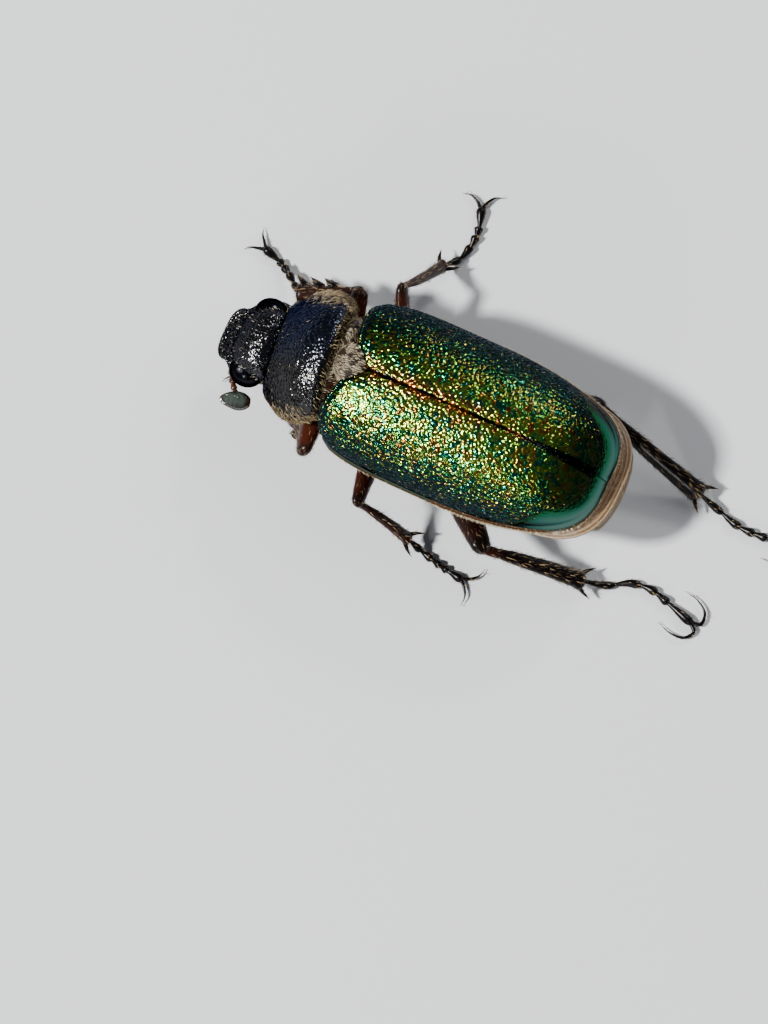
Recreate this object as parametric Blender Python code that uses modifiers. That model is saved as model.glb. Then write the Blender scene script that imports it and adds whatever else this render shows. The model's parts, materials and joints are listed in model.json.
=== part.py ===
"""A life-size rose chafer beetle, standing on its six feet: one named object for each piece of the body.

Everything is modelled in millimetres, with the beetle's head towards -Y, its left side towards +X and the
floor at Z = 0. The last step turns the model to metres and puts the origin under the middle of its box.
"""

import math

import bmesh
import bpy
from mathutils import Matrix, Vector

METRES_PER_MM = 0.001

# Clearance between neighbouring pieces, small because the whole animal is 12 mm long.
GAP = 0.08
WELD = 0.003
FLAT_ANGLE = math.radians(0.5)

# A cut that leaves less than this share of a piece has failed.
LEAST_LEFT = 0.25

# Wing cases, measured from their front edge at Y = 0.
CASE_LENGTH = 7.35
CASE_HALF_WIDTH = 2.25
CASE_WIDEST = 3.2
CASE_THICKNESS = 0.5
CASE_CROWN = 2.05
CASE_EDGE_HEIGHT = 2.7
CASE_EDGE_SAG = 0.12
CASE_EDGE_RISE = 0.42
CASE_ROUNDNESS = 2.35
CASE_FRONT = -0.12
CASE_ARC = 11
SHOULDER_DROP = 0.09
SHOULDER_REACH = 0.27
MARGIN_BEAD = 0.11

# Trunk below the wing cases.
BELLY_HEIGHT = 1.4
BREAST_HEIGHT = 1.2
TAIL_END = 7.45
TAIL_FLARE = 0.12
TRUNK_SPLIT = 3.5
RING_GROOVE = 0.05
ABDOMEN_RINGS = 5
BACK_ROOM = 0.15

# Fore body.
WAIST = Vector((0.0, -0.35, 2.9))
NECK = Vector((0.0, -2.58, 2.5))
FORE_BODY_YAW = math.radians(2)
FORE_BODY_SHIFT = 0.12
HEAD_PITCH = math.radians(39)
SHIELD_MIDDLE = Vector((0.0, -1.5, 0.0))
SHIELD_SHIFT = 0.05
SHIELD_YAW = math.radians(6)
SHIELD_HALF_WIDTH = 1.85
EYE_RADIUS = 0.43
EYE_PLACE = Vector((0.86, 0.6, 0.02))

# Feelers: the bends of each stalk, and the direction in which its club points.
CLUB_LENGTH = 0.95
CLUB_SPREAD = math.radians(17)
FEELERS = {
    "left": {
        "stalk": [
            (0.85, -3.4, 1.98),
            (1.3, -3.4, 1.72),
            (1.66, -3.15, 1.72),
            (1.8, -2.85, 1.88),
            (1.82, -2.68, 2.02),
        ],
        "club": (0.32, -1.0, -0.05),
    },
    "right": {
        "stalk": [
            (-0.45, -3.4, 1.9),
            (-0.85, -3.3, 1.5),
            (-1.02, -3.1, 1.32),
            (-1.05, -2.95, 1.22),
            (-1.05, -2.85, 1.16),
        ],
        "club": (0.15, -0.85, -0.5),
    },
}

# Widths of thigh and shin of each pair of legs, how flat the shin is, and its end spurs.
LEG_SIZES = {
    "front": {"thigh": 0.84, "shin": 0.62, "flat": 0.7, "spurs": 1, "coxa": (0.5, 0.46, 0.5)},
    "mid": {"thigh": 0.74, "shin": 0.58, "flat": 0.78, "spurs": 2, "coxa": (0.5, 0.46, 0.42)},
    "hind": {"thigh": 1.0, "shin": 0.64, "flat": 0.72, "spurs": 2, "coxa": (0.85, 0.5, 0.4)},
}
THIGH_FLAT = 0.72
FOOT_RADIUS = 0.23
FOOT_HEIGHT = 0.18
SPUR_LENGTH = 0.5

# Outlines of thigh and shin: share of the length, then share of the width.
THIGH_SHAPE = [
    (-0.06, 0.3),
    (0.0, 0.55),
    (0.12, 0.78),
    (0.35, 1.0),
    (0.6, 0.97),
    (0.8, 0.8),
    (0.96, 0.66),
    (1.05, 0.4),
]
SHIN_SHAPE = [(-0.05, 0.3), (0.0, 0.56), (0.08, 0.62), (0.3, 0.74), (0.6, 0.88), (0.9, 1.0), (1.0, 1.0)]

# Bends of one claw beyond the end of its foot: how far ahead, then how far to the side.
CLAWS = {
    "front": [(0.12, 0.16), (0.38, 0.38), (0.52, 0.62)],
    "mid": [(0.14, 0.16), (0.36, 0.42), (0.42, 0.72)],
    "hind": [(0.14, 0.14), (0.05, 0.4), (-0.3, 0.56), (-0.72, 0.56)],
}
CLAW_RADII = [0.15, 0.14, 0.11, 0.08, 0.05]

# Tail plate, from its tip up: height, half width, and how far back it stands.
TAIL_PLATE = [
    (1.52, 0.34, 7.52),
    (1.68, 0.62, 7.64),
    (2.0, 0.96, 7.7),
    (2.4, 1.24, 7.66),
    (2.75, 1.37, 7.54),
    (3.05, 1.38, 7.36),
    (3.25, 1.24, 7.16),
]
TAIL_PLATE_DEPTH = 0.62

# Joint places of the six legs as they stand: hip, knee, ankle, then the bends of the foot.
LEGS = {
    "front_left": {
        "hip": (0.66, -1.14, 1.42),
        "knee": (2.44, -0.66, 2.1),
        "ankle": (1.1, -1.7, 0.72),
        "foot": [(0.92, -2.25, 0.3), (0.85, -2.8, 0.0), (0.9, -3.6, 0.0)],
    },
    "front_right": {
        "hip": (-0.46, -1.14, 1.42),
        "knee": (-2.21, -1.13, 2.2),
        "ankle": (-1.64, -2.9, 1.0),
        "foot": [(-2.1, -3.48, 0.45), (-2.38, -3.95, 0.0), (-2.58, -4.55, 0.0)],
    },
    "mid_left": {
        "hip": (0.72, 0.85, 1.12),
        "knee": (3.12, 1.34, 2.4),
        "ankle": (3.25, 2.76, 0.6),
        "foot": [(3.36, 3.2, 0.22), (3.48, 3.75, 0.0), (3.6, 4.5, 0.0)],
    },
    "mid_right": {
        "hip": (-0.72, 0.85, 1.12),
        "knee": (-2.74, -0.12, 2.4),
        "ankle": (-4.11, 0.32, 0.5),
        "foot": [(-4.54, 0.6, 0.2), (-4.97, 0.7, 0.0), (-5.43, 0.7, 0.0), (-6.1, 0.5, 0.0)],
    },
    "hind_left": {
        "hip": (0.95, 2.95, 1.18),
        "knee": (2.87, 4.93, 2.35),
        "ankle": (2.29, 7.53, 0.42),
        "foot": [(2.09, 8.14, 0.0), (1.77, 8.71, 0.0), (1.7, 9.24, 0.0), (1.86, 9.9, 0.0), (2.1, 10.7, 0.0)],
    },
    "hind_right": {
        "hip": (-0.95, 2.95, 1.18),
        "knee": (-2.05, 6.1, 1.7),
        "ankle": (-1.19, 9.44, 0.42),
        "foot": [(-1.02, 10.11, 0.0), (-0.85, 10.78, 0.0), (-0.86, 11.28, 0.0), (-0.95, 12.3, 0.0)],
    },
}


def clear_scene():
    for old in list(bpy.data.objects):
        bpy.data.objects.remove(old)


def shell_material(name, colour, roughness, metallic):
    material = bpy.data.materials.new(name)
    material.use_nodes = True
    shader = material.node_tree.nodes["Principled BSDF"]
    shader.inputs["Base Color"].default_value = (*colour, 1.0)
    shader.inputs["Roughness"].default_value = roughness
    shader.inputs["Metallic"].default_value = metallic
    return material


def add_object(name, mesh):
    made = bpy.data.objects.new(name, mesh)
    bpy.context.scene.collection.objects.link(made)
    return made


def mesh_from(builder, name):
    """A mesh of one closed surface, with its faces turned outwards."""
    mesh = bpy.data.meshes.new(name)
    bmesh.ops.recalc_face_normals(builder, faces=builder.faces)
    if builder.calc_volume(signed=True) < 0:
        bmesh.ops.reverse_faces(builder, faces=builder.faces)
    builder.to_mesh(mesh)
    builder.free()
    return mesh


def loft(name, rings):
    """A closed skin through rings that have the same number of points, with both ends capped."""
    builder = bmesh.new()
    rows = [[builder.verts.new(point) for point in ring] for ring in rings]
    count = len(rings[0])
    for near, far in zip(rows, rows[1:]):
        for i in range(count):
            after = (i + 1) % count
            builder.faces.new((near[i], near[after], far[after], far[i]))
    builder.faces.new(rows[0])
    builder.faces.new(rows[-1])
    return add_object(name, mesh_from(builder, name))


def turned(name, profile, steps):
    """A solid of revolution about Z from (radius, height) points that run from the top down."""
    mesh = bpy.data.meshes.new(name)
    points = [(radius, 0.0, height) for radius, height in profile]
    mesh.from_pydata(points, [(i, i + 1) for i in range(len(points) - 1)], [])
    made = add_object(name, mesh)
    screw = made.modifiers.new("Turn", "SCREW")
    screw.steps = steps
    screw.render_steps = steps
    screw.use_merge_vertices = True
    screw.merge_threshold = 0.0001
    return freeze(made)


def freeze(made):
    """Bakes an object's modifiers into its mesh."""
    bpy.context.view_layer.update()
    graph = bpy.context.evaluated_depsgraph_get()
    mesh = bpy.data.meshes.new_from_object(made.evaluated_get(graph))
    made.modifiers.clear()
    made.data = mesh
    return made


def tube(name, points, radii, resolution=2):
    """A closed round strand through the points, with its own radius at each."""
    curve = bpy.data.curves.new(name, "CURVE")
    curve.dimensions = "3D"
    curve.bevel_depth = 1.0
    curve.bevel_resolution = resolution
    curve.use_fill_caps = True
    spline = curve.splines.new("POLY")
    spline.points.add(len(points) - 1)
    for place, point, radius in zip(spline.points, points, radii):
        place.co = (*point, 1.0)
        place.radius = radius
    strand = add_object(name + "_line", curve)
    bpy.context.view_layer.update()
    graph = bpy.context.evaluated_depsgraph_get()
    mesh = bpy.data.meshes.new_from_object(strand.evaluated_get(graph))
    bpy.data.objects.remove(strand)
    builder = bmesh.new()
    builder.from_mesh(mesh)
    bmesh.ops.remove_doubles(builder, verts=builder.verts, dist=WELD)
    return add_object(name, mesh_from(builder, name))


def ball(name, centre, radii, turn=None, segments=16, rows=10):
    builder = bmesh.new()
    bmesh.ops.create_uvsphere(builder, u_segments=segments, v_segments=rows, radius=1.0)
    place = Matrix.Translation(centre) @ (turn or Matrix.Identity(4)) @ Matrix.Diagonal((*radii, 1.0))
    builder.transform(place)
    return add_object(name, mesh_from(builder, name))


def spike(name, root, tip, radius, sides=6):
    """A tapered thorn from root to tip, its point blunt by a few hundredths."""
    along = Vector(tip) - Vector(root)
    builder = bmesh.new()
    bmesh.ops.create_cone(
        builder, cap_ends=True, segments=sides, radius1=radius, radius2=0.25 * radius, depth=along.length
    )
    turn = along.to_track_quat("Z", "Y").to_matrix().to_4x4()
    builder.transform(Matrix.Translation(Vector(root) + along / 2) @ turn)
    return add_object(name, mesh_from(builder, name))


def largest_body(made):
    """Drops every closed surface of the mesh but the one with the most faces."""
    builder = bmesh.new()
    builder.from_mesh(made.data)
    left = set(builder.verts)
    islands = []
    while left:
        front = [left.pop()]
        island = set(front)
        while front:
            for edge in front.pop().link_edges:
                for vert in edge.verts:
                    if vert in left:
                        left.remove(vert)
                        island.add(vert)
                        front.append(vert)
        islands.append(island)
    islands.sort(key=len)
    for island in islands[:-1]:
        bmesh.ops.delete(builder, geom=list(island), context="VERTS")
    builder.to_mesh(made.data)
    builder.free()
    return made


def measure(mesh):
    """The volume that a mesh encloses, or None where it isn't closed."""
    builder = bmesh.new()
    builder.from_mesh(mesh)
    closed = all(len(edge.link_faces) == 2 for edge in builder.edges)
    amount = builder.calc_volume(signed=True)
    builder.free()
    return amount if closed else None


def combine(made, operation, other, least, most):
    """Applies a Boolean, by the first solver whose result is closed and has a likely volume."""
    for solver in ("EXACT", "MANIFOLD"):
        boolean = made.modifiers.new("Combine", "BOOLEAN")
        boolean.operation = operation
        boolean.solver = solver
        if isinstance(other, bpy.types.Collection):
            boolean.operand_type = "COLLECTION"
            boolean.collection = other
        else:
            boolean.object = other
        bpy.context.view_layer.update()
        graph = bpy.context.evaluated_depsgraph_get()
        mesh = bpy.data.meshes.new_from_object(made.evaluated_get(graph))
        made.modifiers.clear()
        builder = bmesh.new()
        builder.from_mesh(mesh)
        bmesh.ops.remove_doubles(builder, verts=builder.verts, dist=WELD)
        bmesh.ops.dissolve_degenerate(builder, edges=builder.edges, dist=WELD)
        builder.to_mesh(mesh)
        builder.free()
        amount = measure(mesh)
        if amount is not None and least <= amount <= most:
            made.data = mesh
            return
    raise ValueError(f"no solver could combine {made.name} and {other.name}")


def cut(made, *cutters):
    """Takes the cutters' shapes out of an object, and removes the cutters."""
    for cutter in cutters:
        whole = measure(made.data)
        combine(made, "DIFFERENCE", cutter, LEAST_LEFT * whole, 1.001 * whole)
        bpy.data.objects.remove(cutter)
        largest_body(made)
    return made


def fuse(name, pieces):
    """Joins closed pieces that overlap into one body."""
    group = bpy.data.collections.new(name + "_pieces")
    bpy.context.scene.collection.children.link(group)
    base, others = pieces[0], pieces[1:]
    for piece in others:
        bpy.context.scene.collection.objects.unlink(piece)
        group.objects.link(piece)
    sizes = [measure(piece.data) for piece in pieces]
    combine(base, "UNION", group, max(sizes), 1.001 * sum(sizes))
    for piece in others:
        bpy.data.objects.remove(piece)
    bpy.data.collections.remove(group)
    base.name = name
    return largest_body(base)


def swollen(made, by=GAP):
    """A copy of a piece grown outwards by the clearance, to cut its neighbour with."""
    copy = add_object(made.name + "_room", made.data.copy())
    copy.matrix_world = made.matrix_world
    grow = copy.modifiers.new("Grow", "DISPLACE")
    grow.strength = by
    grow.mid_level = 0.0
    return freeze(copy)


def near(made, other, reach=2 * GAP):
    """Whether the boxes round two pieces come within reach of each other."""
    for axis in range(3):
        mine = [vert.co[axis] for vert in made.data.vertices]
        theirs = [vert.co[axis] for vert in other.data.vertices]
        if min(mine) - reach > max(theirs) or min(theirs) - reach > max(mine):
            return False
    return True


def make_room(made, *others):
    """Cuts a piece clear of each of the others that it may touch."""
    return cut(made, *[swollen(other) for other in others if near(made, other)])


def box(name, low, high):
    builder = bmesh.new()
    bmesh.ops.create_cube(builder, size=1.0)
    size = [b - a for a, b in zip(low, high)]
    centre = [(a + b) / 2 for a, b in zip(low, high)]
    builder.transform(Matrix.Translation(centre) @ Matrix.Diagonal((*size, 1.0)))
    return add_object(name, mesh_from(builder, name))


def section(half_width, top, bottom, waist, crown_power=2.3, keel_power=2.2, count=24):
    """An upright closed outline: an arch over a keel, both superellipses, widest at the waist's height."""
    points = []
    for i in range(count):
        angle = 2 * math.pi * (i + 0.5) / count
        across, up = math.cos(angle), math.sin(angle)
        power = 2 / (crown_power if up > 0 else keel_power)
        reach = top - waist if up > 0 else waist - bottom
        x = half_width * math.copysign(abs(across) ** power, across)
        z = waist + reach * math.copysign(abs(up) ** power, up)
        points.append((x, z))
    return points


def between(table, where):
    """Smooth values read from rows of (place, values...) at one place."""
    rows = sorted(table)
    if where <= rows[0][0]:
        return rows[0][1:]
    for low, high in zip(rows, rows[1:]):
        if where <= high[0]:
            share = (where - low[0]) / (high[0] - low[0])
            share = share * share * (3 - 2 * share)
            return [a + (b - a) * share for a, b in zip(low[1:], high[1:])]
    return rows[-1][1:]


def case_half_width(y):
    if y < CASE_WIDEST:
        return CASE_HALF_WIDTH * (1 - SHOULDER_DROP * (1 - max(y, CASE_FRONT) / CASE_WIDEST) ** 6)
    share = min(1.0, (y - CASE_WIDEST) / (CASE_LENGTH - CASE_WIDEST))
    return CASE_HALF_WIDTH * (1 - share * share) ** 0.32


def case_edge(y):
    """Height of the lower edge: it sags a little along the side and rises towards the rear."""
    share = min(max(y, 0.0), CASE_LENGTH) / CASE_LENGTH
    return CASE_EDGE_HEIGHT - CASE_EDGE_SAG * math.sin(math.pi * share) + CASE_EDGE_RISE * share**4


def case_crown(y):
    """Height of the wing cases above their lower edge, along the seam."""
    if y < CASE_WIDEST:
        return CASE_CROWN * (1 - 0.2 * (1 - y / CASE_WIDEST) ** 2.2)
    share = min(1.0, (y - CASE_WIDEST) / (CASE_LENGTH - CASE_WIDEST))
    return (CASE_CROWN - CASE_EDGE_RISE * share**4) * math.sqrt(1 - share**2.4)


def case_stations(front_count=5, rear_count=10):
    """Places along the wing cases, crowded towards the rounded rear end."""
    front = [CASE_WIDEST * i / front_count for i in range(front_count)]
    turns = [math.pi / 2 * (i / rear_count) for i in range(rear_count)]
    rear = [CASE_WIDEST + (CASE_LENGTH - CASE_WIDEST) * math.sin(turn) for turn in turns]
    return front + rear


def shoulder_reach(x, y):
    """How far ahead the front of a wing case is drawn, most of all at its shoulder."""
    rise = min(max((abs(x) - 0.15) / 1.25, 0.0), 1.0)
    fall = min(max((2.3 - abs(x)) / 0.7, 0.0), 1.0)
    share = min(rise * rise * (3 - 2 * rise), fall * fall * (3 - 2 * fall))
    return SHOULDER_REACH * share * (1 - min(max((y - CASE_FRONT) / 1.1, 0.0), 1.0))


def case_block(name, inset, seam, front):
    """The solid under one half of the wing cases' surface, pulled in by the inset."""
    rings = []
    arc = CASE_ARC
    rounding = [] if inset else [(front, 0.16), (front + 0.07, 0.06), (front + 0.18, 0.0)]
    places = rounding or [(front, 0.0)]
    places += [(y, 0.0) for y in case_stations()[1:]]
    for y, pull in places:
        wide = max(case_half_width(y) - inset - pull, seam + 0.04)
        high = max(case_crown(max(y, 0.0)) - inset - pull, 0.04)
        low = case_edge(y) - (1.0 if inset else 0.0)
        ring = [(seam, y, low)]
        for i in range(arc + 1):
            angle = math.pi / 2 * (1 - i / arc)
            power = 2 / CASE_ROUNDNESS
            x = seam + (wide - seam) * math.cos(angle) ** power
            z = case_edge(y) + high * math.sin(angle) ** power
            ring.append((x, y, z))
        if inset:
            ring.append((wide, y, low))
        rings.append([(x, y - shoulder_reach(x, y), z) for x, y, z in ring])
    return loft(name, rings)


def both_cases_room():
    """The solid that both wing cases take up with their clearance, to keep the tail plate out of it."""
    left = case_block("room_left", -2 * GAP, -0.2, CASE_FRONT)
    left.data.transform(Matrix.Translation((0.0, 0.0, -2 * GAP)))
    right = add_object("room_right", left.data.copy())
    right.data.transform(Matrix.Diagonal((-1.0, 1.0, 1.0, 1.0)))
    right.data.flip_normals()
    return fuse("room", [left, right])


def margin_bead(name):
    """The raised rim that runs along the lower edge of the wing case and round its end."""
    line = [(case_half_width(y) - 0.06, y, case_edge(y) + 0.02) for y in case_stations()[1:]]
    line.append((0.25, CASE_LENGTH - 0.04, case_edge(CASE_LENGTH) + 0.02))
    return tube(name, line, [MARGIN_BEAD] * len(line))


def wing_case(side):
    """One wing case, as a shell over the abdomen; side is 1 for the left and -1 for the right."""
    seam = GAP / 2
    name = "elytron_left" if side > 0 else "elytron_right"
    shell = case_block(name, 0.0, seam, CASE_FRONT)
    hollow = case_block(name + "_hollow", CASE_THICKNESS, -0.5, -1.0)
    cut(shell, hollow)
    bead = margin_bead(name + "_bead")
    cut(bead, box("half", (-3, -1, 0), (seam, 9, 6)))
    made = fuse(name, [shell, bead])
    if side < 0:
        made.data.transform(Matrix.Diagonal((-1.0, 1.0, 1.0, 1.0)))
        made.data.flip_normals()
    return made


def groove_depth(y):
    """How far the belly is drawn in at the seams between the rings of the abdomen."""
    share = (y - TRUNK_SPLIT) / (TAIL_END - TRUNK_SPLIT) * ABDOMEN_RINGS
    if share <= 0:
        return 0.0
    return RING_GROOVE * max(0.0, 1 - abs(share - round(share)) * 8)


def trunk_stations():
    """Places along the trunk, with three at each seam of the abdomen."""
    step = (TAIL_END - TRUNK_SPLIT) / ABDOMEN_RINGS
    places = [-0.26, 0.3, 0.9, 1.6, 2.3, 2.9]
    for i in range(ABDOMEN_RINGS):
        seam = TRUNK_SPLIT + step * i
        places += [seam, seam + 0.125 * step, seam + 0.5 * step, seam + 0.875 * step]
    return places + [TAIL_END - 0.04, TAIL_END]


def trunk_half_width(y):
    if y < CASE_WIDEST:
        return case_half_width(y) - 0.1
    share = min(1.0, (y - CASE_WIDEST) / (TAIL_END + 0.01 - CASE_WIDEST))
    return (CASE_HALF_WIDTH - 0.1 + TAIL_FLARE * share) * (1 - share * share) ** 0.3


def trunk():
    """Breast and abdomen in one, with a ledge on which the edges of the wing cases lie."""
    underside = [
        (-0.26, 1.8),
        (0.8, BREAST_HEIGHT),
        (2.8, BREAST_HEIGHT),
        (4.0, BELLY_HEIGHT),
        (6.2, 1.5),
        (7.6, 2.1),
    ]
    lower = []
    for y in trunk_stations():
        wide = trunk_half_width(y) - groove_depth(y)
        keel = between(underside, y)[0]
        lip = case_edge(y) - GAP - 0.1
        top = between([(6.6, lip), (TAIL_END, 2.6)], y)[0] if y > 6.6 else lip
        outline = section(wide, top, keel + groove_depth(y), top - 0.16, 3.0, 2.3)
        lower.append([(x, y, z) for x, z in outline])
    below = loft("trunk", lower)
    upper = []
    for y in [-0.1, *case_stations()[1:-3]]:
        wide = case_half_width(y) - CASE_THICKNESS - BACK_ROOM
        top = case_edge(y) + case_crown(max(y, 0.0)) - CASE_THICKNESS - BACK_ROOM
        outline = section(wide, top, 1.9, case_edge(y), CASE_ROUNDNESS, 2.2)
        upper.append([(x, y, z) for x, z in outline])
    above = loft("trunk_above", upper)
    return fuse("trunk", [below, above])


def collar():
    """The bare front of the mid body, which shows between the neck shield and the wing cases."""
    sizes = [
        (-0.92, 0.95, 3.66, 2.1),
        (-0.72, 1.3, 3.9, 1.8),
        (-0.52, 1.32, 3.9, 1.75),
        (-0.42, 1.22, 3.78, 1.75),
        (-0.2, 1.26, 3.7, 1.7),
        (0.3, 1.26, 3.68, 1.7),
    ]
    rings = []
    for y, wide, top, keel in sizes:
        rings.append([(x, y, z) for x, z in section(wide, top, keel, 2.85)])
    return loft("collar", rings)


def shield_plate():
    """The small shield between the bases of the wing cases, which narrows to the rear."""
    turn = Matrix.Rotation(math.radians(8), 4, "X")
    made = ball("scutellum", (0.0, -0.1, 4.12), (0.52, 0.47, 0.24), turn, 14, 8)
    for vert in made.data.vertices:
        vert.co.x *= 1 - 0.45 * max(0.0, (vert.co.y + 0.1) / 0.47)
    return made


def fore_body_turn():
    """The place of the head and neck shield: moved and turned a little to the left, about the waist."""
    turn = Matrix.Rotation(FORE_BODY_YAW, 4, "Z")
    waist = WAIST + Vector((FORE_BODY_SHIFT, 0.0, 0.0))
    return Matrix.Translation(waist) @ turn @ Matrix.Translation(-WAIST)


def neck_shield_turn():
    """The place of the neck shield, which is turned further to the left than the head."""
    turn = Matrix.Rotation(SHIELD_YAW, 4, "Z")
    middle = SHIELD_MIDDLE + Vector((SHIELD_SHIFT, 0.0, 0.0))
    return Matrix.Translation(middle) @ turn @ Matrix.Translation(-SHIELD_MIDDLE)


def neck_shield():
    """The first ring of the thorax, with the edge that runs down each of its sides."""
    sizes = [
        (-0.7, 1.5, 4.1, 1.85, 2.95),
        (-0.78, 1.6, 4.18, 1.7, 2.95),
        (-1.08, 1.79, 4.2, 1.5, 2.85),
        (-1.45, SHIELD_HALF_WIDTH, 4.04, 1.42, 2.7),
        (-1.85, 1.74, 3.74, 1.42, 2.5),
        (-2.2, 1.5, 3.4, 1.5, 2.35),
        (-2.44, 1.3, 3.1, 1.62, 2.25),
        (-2.54, 1.12, 2.93, 1.75, 2.25),
    ]
    rings = []
    for y, wide, top, keel, waist in sizes:
        rings.append([(x, y, z) for x, z in section(wide, top, keel, waist, 2.1, 2.0)])
    made = loft("prothorax", rings)
    edges = []
    for side in (1, -1):
        line = [(side * (wide - 0.05), y, waist) for y, wide, top, keel, waist in sizes[1:-1]]
        edges.append(tube(f"edge_{side}", line, [0.11] * len(line)))
    made = fuse("prothorax", [made, *edges])
    made.data.transform(neck_shield_turn())
    return made


def head_place():
    """The head's own frame: X to the left, Y towards the mouth, Z out of the brow."""
    forward = Vector((0.0, -math.cos(HEAD_PITCH), -math.sin(HEAD_PITCH)))
    brow = Vector((0.0, -math.sin(HEAD_PITCH), math.cos(HEAD_PITCH)))
    frame = Matrix((Vector((1.0, 0.0, 0.0)), forward, brow)).transposed().to_4x4()
    return fore_body_turn() @ Matrix.Translation(NECK) @ frame


def skull_form(name, room):
    """The plain form of the head in its own frame, grown by a clearance."""
    sizes = [
        (-0.35, 0.62, 0.42, -0.45),
        (-0.1, 0.9, 0.62, -0.62),
        (0.2, 1.02, 0.72, -0.72),
        (0.6, 1.03, 0.72, -0.72),
        (0.92, 0.88, 0.62, -0.62),
        (1.15, 0.76, 0.5, -0.45),
        (1.4, 0.73, 0.4, -0.18),
        (1.62, 0.67, 0.34, -0.06),
        (1.72, 0.56, 0.3, 0.0),
    ]
    rings = []
    last = sizes[-1][0]
    for y, wide, top, keel in sizes:
        outline = section(wide + room, top + room, keel - room, (top + keel) / 2, 2.6, 2.4)
        end = room if y == last else 0.0
        rings.append([(x, y + end, z) for x, z in outline])
    return loft(name, rings)


def head_room():
    """The space that the head takes up with its clearance."""
    return settle(skull_form("head_room", GAP), head_place())


def head():
    """Skull and face plate, with the plate's turned-up rim."""
    skull = skull_form("skull", 0.0)
    rim = []
    for i in range(13):
        angle = math.pi * i / 12
        x = 0.7 * math.copysign(abs(math.cos(angle)) ** 0.6, math.cos(angle))
        rim.append((x, 1.2 + 0.5 * math.sin(angle) ** 0.7, 0.3))
    rim = tube("rim", rim, [0.11] * len(rim))
    lip = ball("lip", (0.0, 1.4, -0.16), (0.42, 0.34, 0.2), None, 12, 8)
    made = fuse("head", [skull, rim, lip])
    return settle(made, head_place())


def settle(made, place):
    """Moves a piece from its own frame into the model, and keeps its faces pointing out."""
    made.data.transform(place)
    if place.determinant() < 0:
        made.data.flip_normals()
    return made


def eye(side):
    name = "eye_left" if side > 0 else "eye_right"
    centre = Vector((side * EYE_PLACE.x, EYE_PLACE.y, EYE_PLACE.z))
    made = ball(name, centre, (EYE_RADIUS, EYE_RADIUS * 1.1, EYE_RADIUS * 1.15), None, 18, 12)
    return settle(made, head_place())


def antenna(side):
    """Stalk of rounded joints, and a club of three leaves that part towards their tips."""
    shape = FEELERS[side]
    line = [Vector(point) for point in shape["stalk"]]
    stalk = tube(f"stalk_{side}", line, [0.2, 0.24, 0.2, 0.23, 0.22])
    frame = limb_frame(line[-1], line[-1] + Vector(shape["club"]), Vector((0.0, 0.0, 1.0)))
    size = (0.15, 0.26, CLUB_LENGTH / 2)
    leaves = []
    for i, spread in enumerate((-1, 0, 1)):
        turn = frame @ Matrix.Rotation(CLUB_SPREAD * spread, 4, "Y")
        centre = turn @ Vector((0.05 * spread, 0.0, CLUB_LENGTH * 0.42))
        leaves.append(ball(f"leaf_{side}_{i}", centre, size, turn.to_3x3().to_4x4(), 10, 6))
    return fuse(f"antenna_{side}", [stalk, *leaves])


def palp(side):
    """A jointed feeler beside the mouth."""
    name = "palp_left" if side > 0 else "palp_right"
    bends = ((0.5, 0.75, -0.85), (0.68, 0.95, -1.0), (0.72, 1.25, -1.08), (0.62, 1.6, -1.0))
    line = [(side * x, y, z) for x, y, z in bends]
    made = tube(name, line, [0.2, 0.21, 0.2, 0.13])
    return settle(made, head_place())


def limb_frame(start, end, flat_normal):
    """A frame at start with Z along the limb and X along the direction in which the limb is thin."""
    along = (end - start).normalized()
    across = (flat_normal - flat_normal.dot(along) * along).normalized()
    frame = Matrix((across, along.cross(across), along)).transposed().to_4x4()
    return Matrix.Translation(start) @ frame


def limb(name, start, end, shape, width, flat, normal, steps=12):
    """A straight flattened limb, whose shape has rows of (share of the length, share of the width)."""
    length = (end - start).length
    profile = [(0.0, shape[-1][0] * length)]
    profile += [(share * width / 2, place * length) for place, share in reversed(shape)]
    profile += [(0.0, shape[0][0] * length)]
    made = turned(name, profile, steps)
    made.data.transform(Matrix.Diagonal((flat, 1.0, 1.0, 1.0)))
    made.data.transform(limb_frame(start, end, normal))
    return made


def shin(name, pair, knee, ankle, normal):
    """Shin with its end spurs, and the outer teeth of a front shin."""
    size = LEG_SIZES[pair]
    made = limb(name, knee, ankle, SHIN_SHAPE, size["shin"], size["flat"], normal)
    frame = limb_frame(knee, ankle, normal)
    length = (ankle - knee).length
    thorns = []
    half = size["shin"] / 2
    level = Vector((ankle.x - knee.x, ankle.y - knee.y, 0.0)).normalized()
    aside = level.cross(Vector((0.0, 0.0, 1.0)))
    for i in range(size["spurs"]):
        side = 1 if i else -1
        root = frame @ Vector((0.0, 0.0, length - 0.14)) + side * 0.6 * half * aside
        tip = root + SPUR_LENGTH * (0.8 * level + 0.6 * side * aside)
        tip.z = max(tip.z - 0.15, 0.12)
        thorns.append(spike(f"{name}_spur_{i}", root, tip, 0.13))
    if pair == "front":
        for i, (place, reach) in enumerate(((0.52, 0.14), (0.74, 0.2), (0.96, 0.3))):
            root = frame @ Vector((0.0, half * 0.4, length * (place - 0.12)))
            tip = frame @ Vector((0.0, half + reach, length * (place + 0.06)))
            thorns.append(spike(f"{name}_tooth_{i}", root, tip, 0.17))
    return fuse(name, [made, *thorns])


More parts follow.
